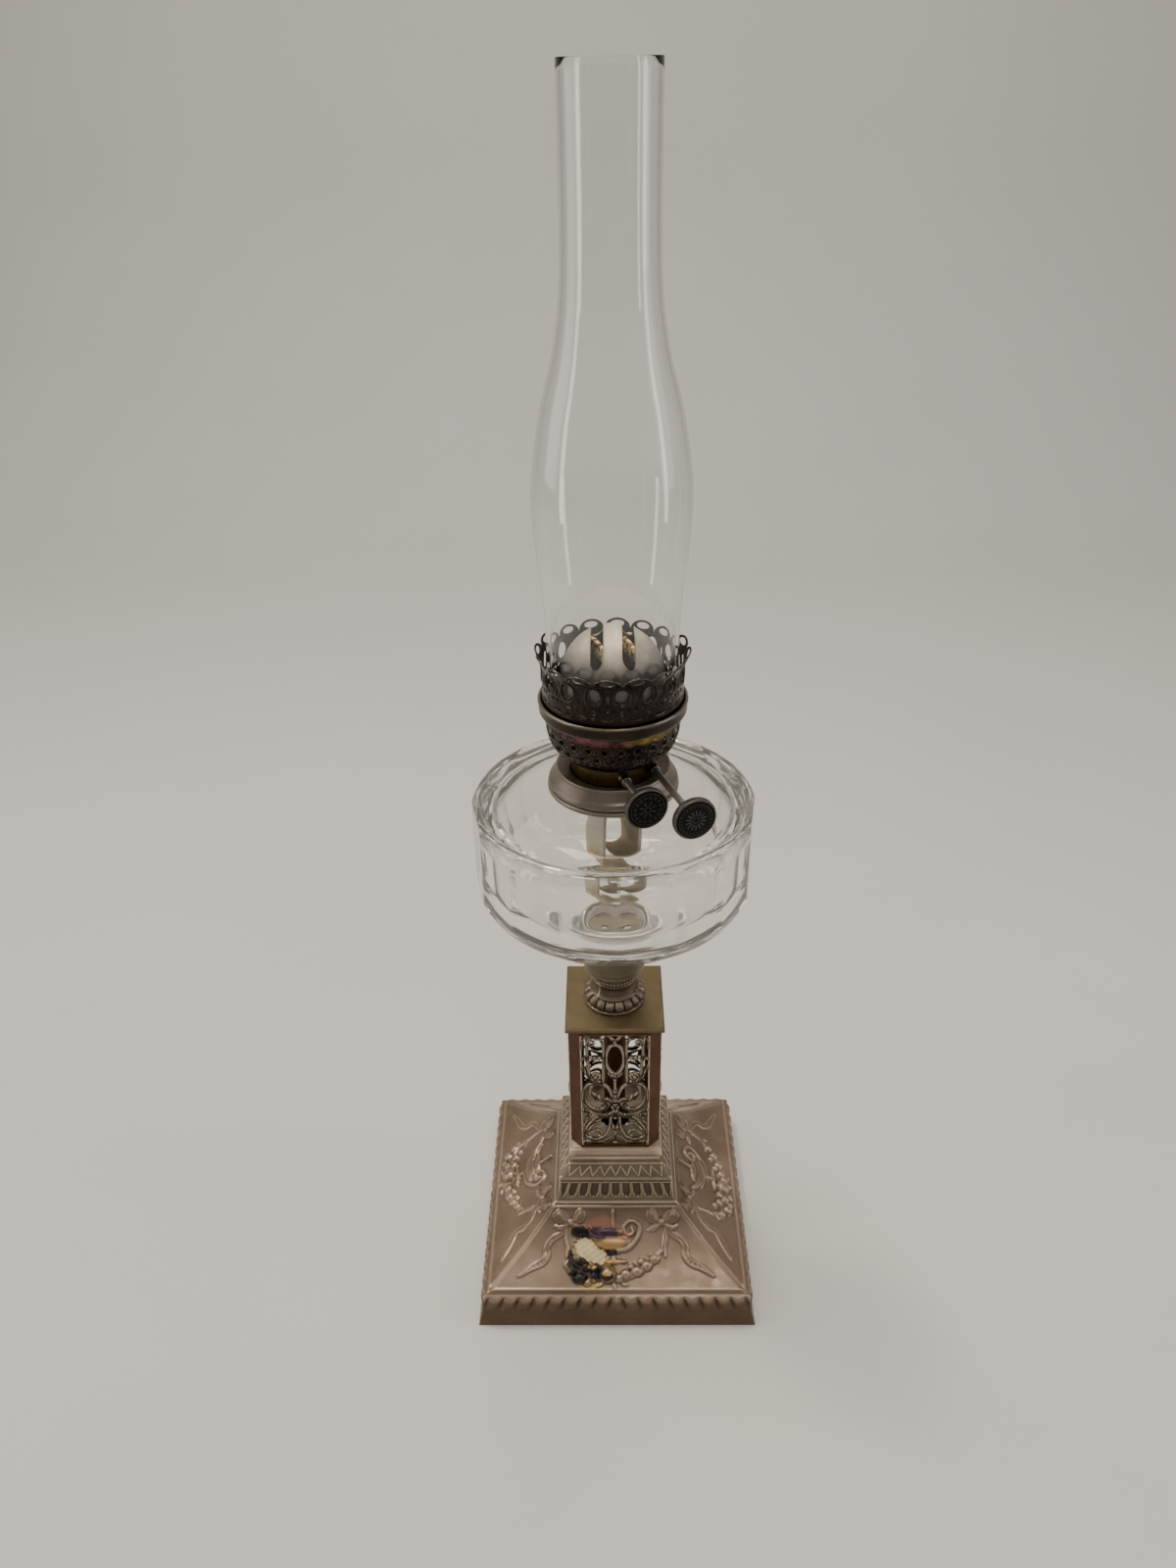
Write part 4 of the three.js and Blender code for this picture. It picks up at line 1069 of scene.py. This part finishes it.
def make_font():
    outer = [(0, 200.8), (14.8, 200.8, 0.6), (15.6, 202.0, 0.8), (15.6, 213.0, 2), (19.0, 219.4, 3),
             (30.0, 227.0, 4), (45.0, 236.2, 4), (58.0, 243.7, 4), (65.6, 249.0, 3),
             (69.8, 257.4, 3), (69.8, 298.0, 1.5), (69.0, 301.0, 1.0), (67.4, 302.2, 0.7),
             (65.4, 301.9, 0.8), (64.2, 301.0, 0.8), (60.0, 301.6, 2), (45.0, 304.2, 3),
             (33.0, 307.2, 2), (24.7, 308.3, 1.0), (24.7, 312.5, 0.3)]
    inner = [(20.8, 312.5, 0.3), (20.8, 305.4, 1.5), (30.0, 303.0, 3), (50.0, 298.6, 3),
             (58.3, 295.2, 3), (61.0, 289.0, 3), (60.6, 266.0, 4), (57.2, 254.5, 4),
             (48.0, 245.5, 4), (34.0, 239.6, 4), (18.0, 237.1, 4), (0, 236.6)]
    profile = eased([(0, 200.8, 0)] + outer[1:] + inner[:-1] + [(0, 236.6, 0)], 1.0, 5)
    inside_from = int(np.argmax(profile[:, 1] > 312.4)) + 4

    def shape(angle, r, z):
        """The outer wall is cut by the facets' planes wherever it reaches past them."""
        row = np.arange(len(profile))[:, None] < inside_from
        return np.where(row, np.minimum(r, facet_radius(angle)), r), z

    lathe("font", profile, facet_columns(18), FONT_GLASS, "stand", "glass_font",
          shape, axis_ends=True, sharp=7)


def make_collars():
    collar = eased([(31.5, 308.8, 0.4), (31.7, 309.6, 0.5), (31.7, 311.0, 0.4), (30.8, 311.2),
                    (26.0, 311.3), (26.0, 316.3), (18.9, 316.3), (18.9, 304.0), (20.3, 304.0),
                    (20.3, 313.0), (25.0, 313.0), (25.0, 308.8)], 0.25, 4)
    lathe("collar", collar, 128, PEWTER, "stand", "font_collar")
    drum = eased([(31.2, 311.7, 0.3), (31.3, 313.4, 0.8), (30.6, 314.7, 1), (29.6, 315.6, 1.2),
                  (28.3, 317.8, 1.5), (27.5, 319.3, 0.5), (27.6, 320.3, 0.5), (27.2, 320.9, 0.4),
                  (26.4, 320.9, 0.4), (25.6, 320.2, 0.6), (20.8, 318.8, 0.3), (20.8, 317.0, 0.3),
                  (26.4, 316.8, 0.3), (28.2, 314.4, 0.8), (29.0, 311.7, 0.2)], 0.3, 6)
    lathe("undermount_drum", drum, 160, PEWTER, "stand", "undermount")


make_font()
make_collars()


# ---- Burner ------------------------------------------------------------------

BOWL_SECTORS = 26
BOWL = smooth_line([(21.6, 327.4), (26.6, 331.3), (29.6, 335.8), (31.3, 342.4), (31.4, 349.9)], 60)


def lengths(line):
    return np.linalg.norm(np.diff(line, axis=0), axis=1)


def runs(line):
    """How far along a line each of its points lies."""
    return np.concatenate([[0], np.cumsum(lengths(line))])


def along_profile(profile, v, depth):
    """Points at arc position v of a profile, moved out by depth along its normal."""
    run = runs(profile)
    r, z = np.interp(v, run, profile[:, 0]), np.interp(v, run, profile[:, 1])
    slope = np.gradient(profile, run, axis=0)
    dr, dz = np.interp(v, run, slope[:, 0]), np.interp(v, run, slope[:, 1])
    size = np.hypot(dr, dz)
    return r + depth * dz / size, z - depth * dr / size


BOWL_RUN = float(lengths(BOWL).sum())


def bowl_field(a, v):
    """Holes and pressed lines of the bowl. a counts its sectors round, v runs up it."""
    r, _ = along_profile(BOWL, v, 0)
    wide = r * TAU / BOWL_SECTORS
    x = (a - np.round(a)) * wide
    half = to_half(a) * wide
    low, high = 13.9, 19.0
    holes = [np.hypot(x, v - high) - 1.35, np.hypot(half, v - low) - 1.35]
    for u, at, size in [(half, high, 0.62), (x, high + 2.9, 0.55), (x, low + 0.3, 0.55),
                        (half, high + 2.6, 0.3), (x, low - 2.9, 0.5), (half, low - 2.9, 0.35)]:
        holes.append((np.abs(u) + np.abs(v - at)) * 0.75 - size)
    deep = np.minimum.reduce(holes)
    middle = (low + high) / 2
    slope = 0.5 * wide / (high - low)
    cross = np.minimum(np.abs(np.abs(x) - np.abs(v - low) * slope),
                       np.abs(np.abs(half) - np.abs(v - low) * slope)) * 0.75
    between = step01(v, low - 5.4, low - 4.6) * step01(v, high + 3.4, high + 2.8)
    emboss = 0.34 * bell(cross, 0.26) * between
    for u, at in [(x, high), (half, low)]:
        ring = np.hypot(u, v - at)
        emboss = np.where(ring < 2.45, 0.34 * bell(ring - 1.95, 0.28), emboss)
    zig = np.abs((v - high - 2.4) - (half / wide) * 3.4) * 0.8
    emboss = np.maximum(emboss, 0.3 * bell(zig, 0.3) * step01(v, middle, high))
    edge = np.minimum(v, BOWL_RUN - v)
    return np.minimum(deep, edge + 0.2), emboss


def make_bowl():
    per = 24
    across = np.arange(BOWL_SECTORS * per) / per
    along = np.linspace(0, BOWL_RUN, 66)
    deep, _ = bowl_field(*grid(across, along))
    deep[:, 0] = deep[:, -1] = 0.2

    def place(a, v, f, front):
        _, emboss = bowl_field(a, v)
        r, z = along_profile(BOWL, v, emboss if front else np.full(a.shape, -0.7))
        return around(r, a * TAU / BOWL_SECTORS, z)

    points, faces = pierced(deep, across, along, place, wrap=True)
    piece("bowl", aimed(points, BURNER_TURN), faces, [BURNER, SOOT], "burner", "burner_bowl",
          picks=back_faces(points, faces), sharp=50)


def shaft_x(sign):
    return sign * WICK_OFFSET + SHAFT_SHIFT


def on_shaft(points, sign):
    """Turns a piece made about +Z so that it lies along a winder shaft."""
    p = np.asarray(points, float)
    laid = np.stack([p[:, 0] + shaft_x(sign), -p[:, 2], p[:, 1] + SHAFT_HEIGHT], 1)
    return aimed(laid, BURNER_TURN)


def ray(r, angle, count):
    """How far a place lies from the gap between two of count rays."""
    return np.abs(np.mod(angle * count / TAU, 1.0) - 0.5) * r * TAU / count


def knob_relief(x, y, which):
    """Generic ornament pressed into a knob's black disc, from 0 to 1."""
    r = np.hypot(x, y)
    a = np.arctan2(y, x)
    parts = [bell(r - 7.9, 0.16)]
    if which == "left":
        parts.append(step01(ray(r, a, 8), 0.34, 0.12) * step01(r, 4.6, 4.2) * step01(r, 1.8, 2.2))
        parts.append(bell(r - 1.3, 0.2))
        for k in range(16):
            t = (k + 0.5) / 16 * TAU
            far = np.hypot(x - 6.2 * math.cos(t), y - 6.2 * math.sin(t))
            parts.append(bell(far - 0.55, 0.18))
    else:
        reach = 5.6 + 0.5 * np.cos(a * 14)
        parts.append(step01(ray(r, a, 14), 0.42, 0.18) * step01(r, reach, reach - 0.3)
                     * step01(r, 2.0, 2.6))
        parts.append(bell(r - 1.4, 0.2))
        parts.append(step01(ray(r, a, 24), 0.4, 0.2) * bell(r - 6.9, 0.36))
    return np.maximum.reduce(parts)


def make_winder(name, sign, face):
    """The shaft, the knob and the knob's disc, whose face is so far from the axis."""
    body = f"winder_{name}"
    rod = eased([(0, -8, 0), (1.6, -8, 0.4), (1.6, face - 2.3, 0.3), (0, face - 2.3, 0)], 0.3, 4)
    lathe(f"shaft_{name}", rod, 40, SHAFT, body, f"winder_shaft_{name}",
          axis_ends=True, sign=sign)
    cup = eased([(0, face - 1.3, 0), (8.9, face - 1.3, 0.2), (9.0, face - 0.2, 0.3),
                 (9.5, face + 0.05, 0.3), (10.1, face - 0.5, 0.5), (10.2, face - 3.0, 0.4),
                 (9.4, face - 3.9, 0.8), (5.2, face - 4.7, 1.2), (3.6, face - 5.4, 0.6),
                 (3.2, face - 6.0, 0.4), (1.9, face - 6.0, 0.2), (1.9, face - 2.2, 0.2),
                 (0, face - 2.2, 0)], 0.3, 4)

    def milled(angle, r, z):
        rim = step01(r, 9.9, 10.1) * step01(z, face - 3.3, face - 3.0)
        share = rim * step01(z, face, face - 0.5)
        return r - 0.12 * share * (0.5 + 0.5 * np.cos(angle * 90)), z

    lathe(f"knob_cup_{name}", cup, 360, KNOB, body, f"knob_{name}",
          milled, axis_ends=True, sign=sign)
    radii = np.concatenate([[0], np.linspace(0.3, 8.7, 74)])
    top = np.array([(r, face - 0.15) for r in radii] + [(8.78, face - 0.9), (0, face - 0.9)])

    def disc(angle, r, z):
        high = knob_relief(r * np.sin(angle), -r * np.cos(angle), name)
        swell = 0.3 * (1 - (r / 8.8) ** 2)
        return r, np.where(z > face - 0.5, z + 0.16 * high + swell, z)

    points, faces = turned(top, 280, disc, axis_ends=True)
    raised = np.where(points[:, 2] > face - 0.5, knob_relief(points[:, 0], points[:, 1], name), 0)
    piece(f"knob_insert_{name}", on_shaft(points, sign), faces, DISC, body,
          f"knob_disc_{name}", facts={"raised": raised}, sharp=50)


def make_gland(name, sign):
    """The nut on the burner's side that a winder shaft comes out of."""
    start = math.sqrt(20.3 ** 2 - shaft_x(sign) ** 2)
    nut = eased([(1.75, start - 0.4, 0.1), (3.0, start - 0.4, 0.3), (3.0, start + 2.2, 0.5),
                 (2.4, start + 3.0, 0.4), (2.4, start + 5.4, 0.4), (1.75, start + 5.6, 0.2)],
                0.3, 3)
    lathe(f"gland_{name}", nut, 48, BAND, "burner", f"shaft_gland_{name}",
          sign=sign)


make_bowl()
make_winder("left", -1, 50.7)
make_winder("right", 1, 66.2)
for wick_side, wick_sign in SIDES:
    make_gland(wick_side, wick_sign)


# ---- Gallery -----------------------------------------------------------------

SECTORS = 16
CROWN_TURN = math.radians(6.8)
CROWN_LOW = 355.4
CROWN_RADIUS = 32.8
EYE_HEIGHT = 371.2


def crown_profile():
    t = np.linspace(CROWN_LOW, 383.0, 140)
    lean = math.radians(25) * step01(t, 372.6, 376.2)
    step = t[1] - t[0]
    r = CROWN_RADIUS + np.concatenate([[0], np.cumsum(np.sin(lean[:-1]) * step)])
    z = CROWN_LOW + np.concatenate([[0], np.cumsum(np.cos(lean[:-1]) * step)])
    return np.stack([r, z], 1)


CROWN_PROFILE = crown_profile()


def oval(x, y, wide, tall):
    """Roughly how far (x, y) lies outside an oval, given its half sizes."""
    return (np.hypot(x / wide, y / tall) - 1) * min(wide, tall)


def crown_field(a, t):
    """Openwork of the crown. a counts its sectors, an eye where a is whole and a
    scallop of the leaning border between each two; t runs up it."""
    wide = CROWN_RADIUS * TAU / SECTORS
    x = (a - np.round(a)) * wide
    edge = to_half(a) * wide
    top = 377.0 + 4.6 * np.sqrt(np.maximum(1 - (edge / 6.3) ** 2, 0))
    holes = [
        oval(x, t - EYE_HEIGHT, 3.1, 3.8),
        oval(edge, t - 379.0, 3.3, 1.5),
        oval(edge, t - 369.8, 0.5, 2.3),
        oval(edge, t - 360.3, 3.2, 0.8),
        (np.abs(x) ** 0.6 + np.abs(t - 363.4) ** 0.6 - 1.42) * 0.8,
        (edge * 1.1 + np.abs(t - 364.9)) * 0.7 - 0.85,
        oval(np.abs(x) - 3.3, t - 365.2, 0.8, 0.7),
        oval(x, t - 360.2, 1.4, 0.55),
    ]
    emboss = [
        0.5 * bell(oval(x, t - EYE_HEIGHT, 3.9, 4.6), 0.5),
        0.25 * bell(top - t - 0.3, 0.35),
        0.2 * bell(oval(edge, t - 371.0, 1.7, 4.2), 0.3),
        0.2 * bell(t - 358.0, 0.35),
    ]
    return np.minimum.reduce([top - t, *holes]), np.maximum.reduce(emboss)


def make_crown():
    per = 34
    across = np.arange(SECTORS * per) / per
    along = np.linspace(355.5, 382.2, 78)
    deep, _ = crown_field(*grid(across, along))
    deep[:, 0] = np.maximum(deep[:, 0], 0.3)

    def place(a, t, f, front):
        _, emboss = crown_field(a, t)
        rounding = 0.22 * (1 - dome_of(f, 0.6) / 0.6)
        depth = emboss - rounding if front else np.full(a.shape, -0.62) + rounding * 0.5
        r, z = along_profile(CROWN_PROFILE, t - CROWN_LOW, depth)
        return around(r, a * TAU / SECTORS + CROWN_TURN, z)

    points, faces = pierced(deep, across, along, place, wrap=True)
    piece("crown", points, faces, [CROWN, SOOT], "gallery", "gallery_crown",
          picks=back_faces(points, faces), sharp=50)


def make_band():
    band = eased([(34.0, 350.3, 0.5), (34.7, 351.2, 0.8), (34.7, 355.2, 0.8), (35.1, 355.8, 0.5),
                  (35.1, 356.6, 0.6), (34.5, 357.2, 0.5), (33.5, 356.9, 0.4), (33.2, 355.4, 0.3),
                  (33.2, 352.2, 0.3), (27.6, 352.0, 0.3), (27.6, 350.7, 0.3)], 0.4, 6)
    points, faces = turned(band, 192)
    # The top bead gets a painted highlight.
    bead = step01(points[:, 2], 356.0, 356.7)
    piece("band", points, faces, BAND, "gallery", "gallery_band",
          facts={"rubbed_and_lit": bead})
    seat = eased([(31.8, 356.3), (31.8, 357.4), (26.2, 357.4, 0.5), (25.6, 358.8, 0.4),
                  (25.0, 358.9, 0.3), (24.6, 356.3)], 0.3, 4)
    lathe("seat", seat, 128, BAND, "gallery", "chimney_seat")


def make_dome():
    """The flame spreader, with its two slots and the turned-in lips along them."""
    radius, middle = 23.4, 367
    rows = [math.radians(a) for a in np.linspace(0, 90, 60)]
    arc = [(radius * math.sin(a), middle + radius * math.cos(a)) for a in rows]
    skirt = [(radius + 0.7 * t, middle - 13.8 * t) for t in (0.2, 0.5, 0.8, 1.0)]
    profile = np.array(arc + skirt)
    run = float(lengths(profile).sum())
    across = np.arange(200) / 200 * TAU
    along = np.linspace(0, run, 92)

    def slots(a, v):
        r, z = along_profile(profile, v, 0)
        x, y = r * np.sin(a), -r * np.cos(a)
        far = np.hypot(np.abs(x) - 6.7, np.maximum(np.abs(y) - 16.4, 0)) - 2.8
        return np.where(z > middle, far, 9.0)

    deep = slots(*grid(across, along))
    deep[:, 0] = deep[:, -1] = 1.0

    def place(a, v, f, front):
        lip = 0.5 * step01(slots(a, v), 0.8, 0.0)
        r, z = along_profile(profile, np.clip(v, 0, run), (0.0 if front else -0.8) - lip)
        return around(np.where(v <= 1e-9, 0.0, r), a, z)

    points, faces = pierced(deep, across, along, place, wrap=True)
    piece("dome", points, faces, DOME, "gallery", "flame_dome", sharp=50)


make_crown()
make_band()
make_dome()


# ---- Chimney -----------------------------------------------------------------

def make_chimney():
    outer = smooth_line([(31.3, 357.9), (31.2, 364.0), (30.7, 374.0), (30.3, 388.0), (31.0, 406.0),
                         (33.4, 428.0), (34.5, 449.0), (33.2, 466.0), (29.3, 488.0), (23.9, 509.0),
                         (20.8, 530.0), (19.8, 552.0), (19.6, 580.0), (19.7, 609.6)], 100)
    inner = outer - [[1.6, 0]]
    lip = [(19.5, 610.0), (18.9, 610.05), (18.3, 609.95)]
    foot = [(29.9, 357.85), (30.6, 357.8), (31.1, 357.85)]
    profile = np.vstack([outer, lip, inner[::-1], foot])
    lathe("chimney_glass", profile, 160, CHIMNEY_GLASS, "glass_chimney", "chimney")


make_chimney()


# ---- Wicks -------------------------------------------------------------------

WICK_TOP = 383.0
WICK_HALF = 12.25
WICK_LEAN = 1.48


def wick_line(sign):
    """(x, z) along a wick from its top, measured from where its shaft crosses it."""
    lowest, bend, tail = (248, 8, 8) if sign < 0 else (264, 7, 5)
    turn_z = lowest + bend - SHAFT_HEIGHT
    line = [(0, WICK_TOP - SHAFT_HEIGHT), (0, 40), (0, 0), (0, -20), (0, turn_z)]
    for a in [k / 6 * math.pi / 2 for k in range(1, 7)]:
        line.append((-sign * bend * (1 - math.cos(a)), turn_z - bend * math.sin(a)))
    return np.array([*line, (-sign * (bend + tail), lowest + 1 - SHAFT_HEIGHT)], float)


def make_wick(name, sign):
    """A flat woven tape that hangs in the font and curls at its end."""
    line = wick_line(sign)
    run = runs(line)
    length = float(run[-1])
    rows, cols = round(length / 0.6), 60
    s = np.linspace(0, length, rows)
    x, z = np.interp(s, run, line[:, 0]), np.interp(s, run, line[:, 1])
    dx, dz = np.gradient(x, s), np.gradient(z, s)
    size = np.hypot(dx, dz)
    nx, nz = dz / size, -dx / size
    y = np.linspace(-WICK_HALF, WICK_HALF, cols)
    s, w = s[:, None], y[None, :]
    rib = 0.16 * np.abs(np.sin(w * math.pi / 1.36)) + 0.08 * np.sin(s * 4.2)
    burnt = bell(s, 3.2)
    lumps = (np.sin(w * 2.9 + sign) * np.sin(s * 2.3 + w * 0.7)
             + 0.6 * np.sin(w * 6.1) * np.sin(s * 5.2 + 1.0))
    top = 0.78 + rib * (1 - burnt) + burnt * (0.12 + 0.10 * lumps)
    crust = np.exp(-s / 1.5) * (0.35 * np.sin(w * 5.1) + 0.25 * np.sin(w * 11.3 + 1))
    crown = 1.2 * (1 - (w / WICK_HALF) ** 2) * np.exp(-s / 5.0)
    layers = []
    for way in (1, -1):
        px = x[:, None] + nx[:, None] * way * top
        pz = z[:, None] + nz[:, None] * way * top
        sheet = np.stack([px, np.broadcast_to(y, px.shape), pz + crust + crown], -1)
        layers.append(sheet.reshape(-1, 3))
    weave = np.tile((rib / 0.24).reshape(-1), 2)
    n = rows * cols
    front = quads(rows, cols, False, False)
    faces = [list(f) for f in front] + [[k + n for k in reversed(list(f))] for f in front]
    border = ([(0, c, 0, c + 1) for c in range(cols - 1)]
              + [(r, cols - 1, r + 1, cols - 1) for r in range(rows - 1)]
              + [(rows - 1, c + 1, rows - 1, c) for c in range(cols - 1)]
              + [(r + 1, 0, r, 0) for r in range(rows - 1)])
    for r0, c0, r1, c1 in border:
        a, b = r0 * cols + c0, r1 * cols + c1
        faces.append([b, a, a + n, b + n])
    p = np.concatenate(layers)
    px, pz = spun(p[:, 0], p[:, 2], math.radians(sign * WICK_LEAN))
    q = np.stack([px + sign * WICK_OFFSET, p[:, 1], pz + SHAFT_HEIGHT], 1)
    made = piece(f"wick_tape_{name}", aimed(q, BURNER_TURN), faces, COTTON,
                 f"wick_strip_{name}", f"wick_{name}", facts={"weave": weave}, sharp=60)


for wick_side, wick_sign in SIDES:
    make_wick(wick_side, wick_sign)


# ---- Pieces kept from the CAD model ------------------------------------------

def finish_node(name, material, bevel):
    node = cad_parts[name]
    node.data.materials.clear()
    node.data.materials.append(material)
    edge = node.modifiers.new("edge", "BEVEL")
    edge.width = bevel * MM
    edge.segments = 3
    edge.limit_method = "ANGLE"
    edge.angle_limit = math.radians(40)


for look, size, names in [
    (BROWN, 0.4, ["column_casing"]),
    (OLIVE, 0.25, ["column_cap"]),
    (BROWN, 0.2, ["rod_sleeve"]),
    (STEEL, 0.2, ["tie_rod", "tie_rod_nut"]),
    (STEEL, 0.1, ["tie_rod_washer"]),
    (FELT, 0.2, ["felt_pad"]),
    (PLASTER, 0.5, ["base_filling"]),
    (RING, 0.3, ["burner_foot"]),
    (SOOT, 0.1, ["tube_plate"]),
    (SOOT, 0.12, [f"wick_tube_{side}" for side, _ in SIDES]),
    (STEEL, 0.06, [f"winder_wheel_{side}_{row}" for side, _ in SIDES
                   for row in ("outer", "inner")]),
]:
    for node_name in names:
        finish_node(node_name, look, size)


# ---- Floor and light ---------------------------------------------------------

def make_stage():
    """A pale sheet that rises behind the lamp in a rounded bend."""
    bend = [(-3.0, 0.0), (1.1, 0.0)]
    bend += [(1.1 + 0.5 * math.sin(a), 0.5 - 0.5 * math.cos(a))
             for a in np.linspace(0, math.pi / 2, 12)]
    bend += [(1.6, 4.0)]
    points = [(x, y, z) for y, z in bend for x in (-4.0, 4.0)]
    faces = [[2 * i, 2 * i + 1, 2 * i + 3, 2 * i + 2] for i in range(len(bend) - 1)]
    mesh = bpy.data.meshes.new("floor")
    mesh.from_pydata(points, [], faces)
    mesh.polygons.foreach_set("use_smooth", [True] * len(mesh.polygons))
    n = Nodes("floor_paper")
    shade = n.blend(n.noise(6, 3), (0.60, 0.59, 0.565), (0.64, 0.63, 0.605))
    n.surface(Base_Color=shade, Roughness=0.85)
    mesh.materials.append(n.material)
    floor = linked("floor", mesh)


LIGHTS = [
    # Name, place, the height on the lamp's axis that it faces, size, watts and colour.
    ("overhead", (-0.1, 0.3, 1.7), 0.1, (1.0, 0.6), 16, (1.0, 0.93, 0.84)),
    ("lamp", (-0.55, 0.35, 1.9), 0.2, (0.16, 0.16), 9, (1.0, 0.93, 0.82)),
    ("strip_left", (-0.95, -0.25, 0.55), 0.25, (0.10, 1.0), 1.8, (1.0, 0.95, 0.86)),
    ("strip_right", (0.95, -0.15, 0.55), 0.25, (0.10, 1.0), 1.6, (1.0, 0.95, 0.86)),
    ("card_left", (-1.4, 0.2, 0.8), 0.2, (0.7, 1.3), 4, (1.0, 0.95, 0.88)),
    ("card_right", (1.4, -0.1, 0.8), 0.2, (0.7, 1.3), 2.5, (0.97, 0.96, 1.0)),
    ("front_top", (0.25, -0.9, 1.9), 0.2, (0.3, 0.2), 4, (1.0, 0.95, 0.88)),
]


def area_light(name, at, height, size, watts, tone):
    data = bpy.data.lights.new(name, "AREA")
    data.shape = "RECTANGLE"
    data.size, data.size_y = size
    data.energy = watts
    data.color = tone
    light = linked(name, data)
    ahead = np.array([0, 0, height], float) - np.array(at, float)
    ahead /= np.linalg.norm(ahead)
    right = np.cross(ahead, [0, 0, 1])
    right /= np.linalg.norm(right)
    light.matrix_world = facing(right, np.cross(right, ahead), ahead, at)


def make_lights():
    world = bpy.context.scene.world or bpy.data.worlds.new("world")
    bpy.context.scene.world = world
    world.use_nodes = True
    back = world.node_tree.nodes["Background"]
    back.inputs["Color"].default_value = (0.86, 0.82, 0.76, 1)
    back.inputs["Strength"].default_value = 0.37
    for light in LIGHTS:
        area_light(*light)


make_stage()
make_lights()
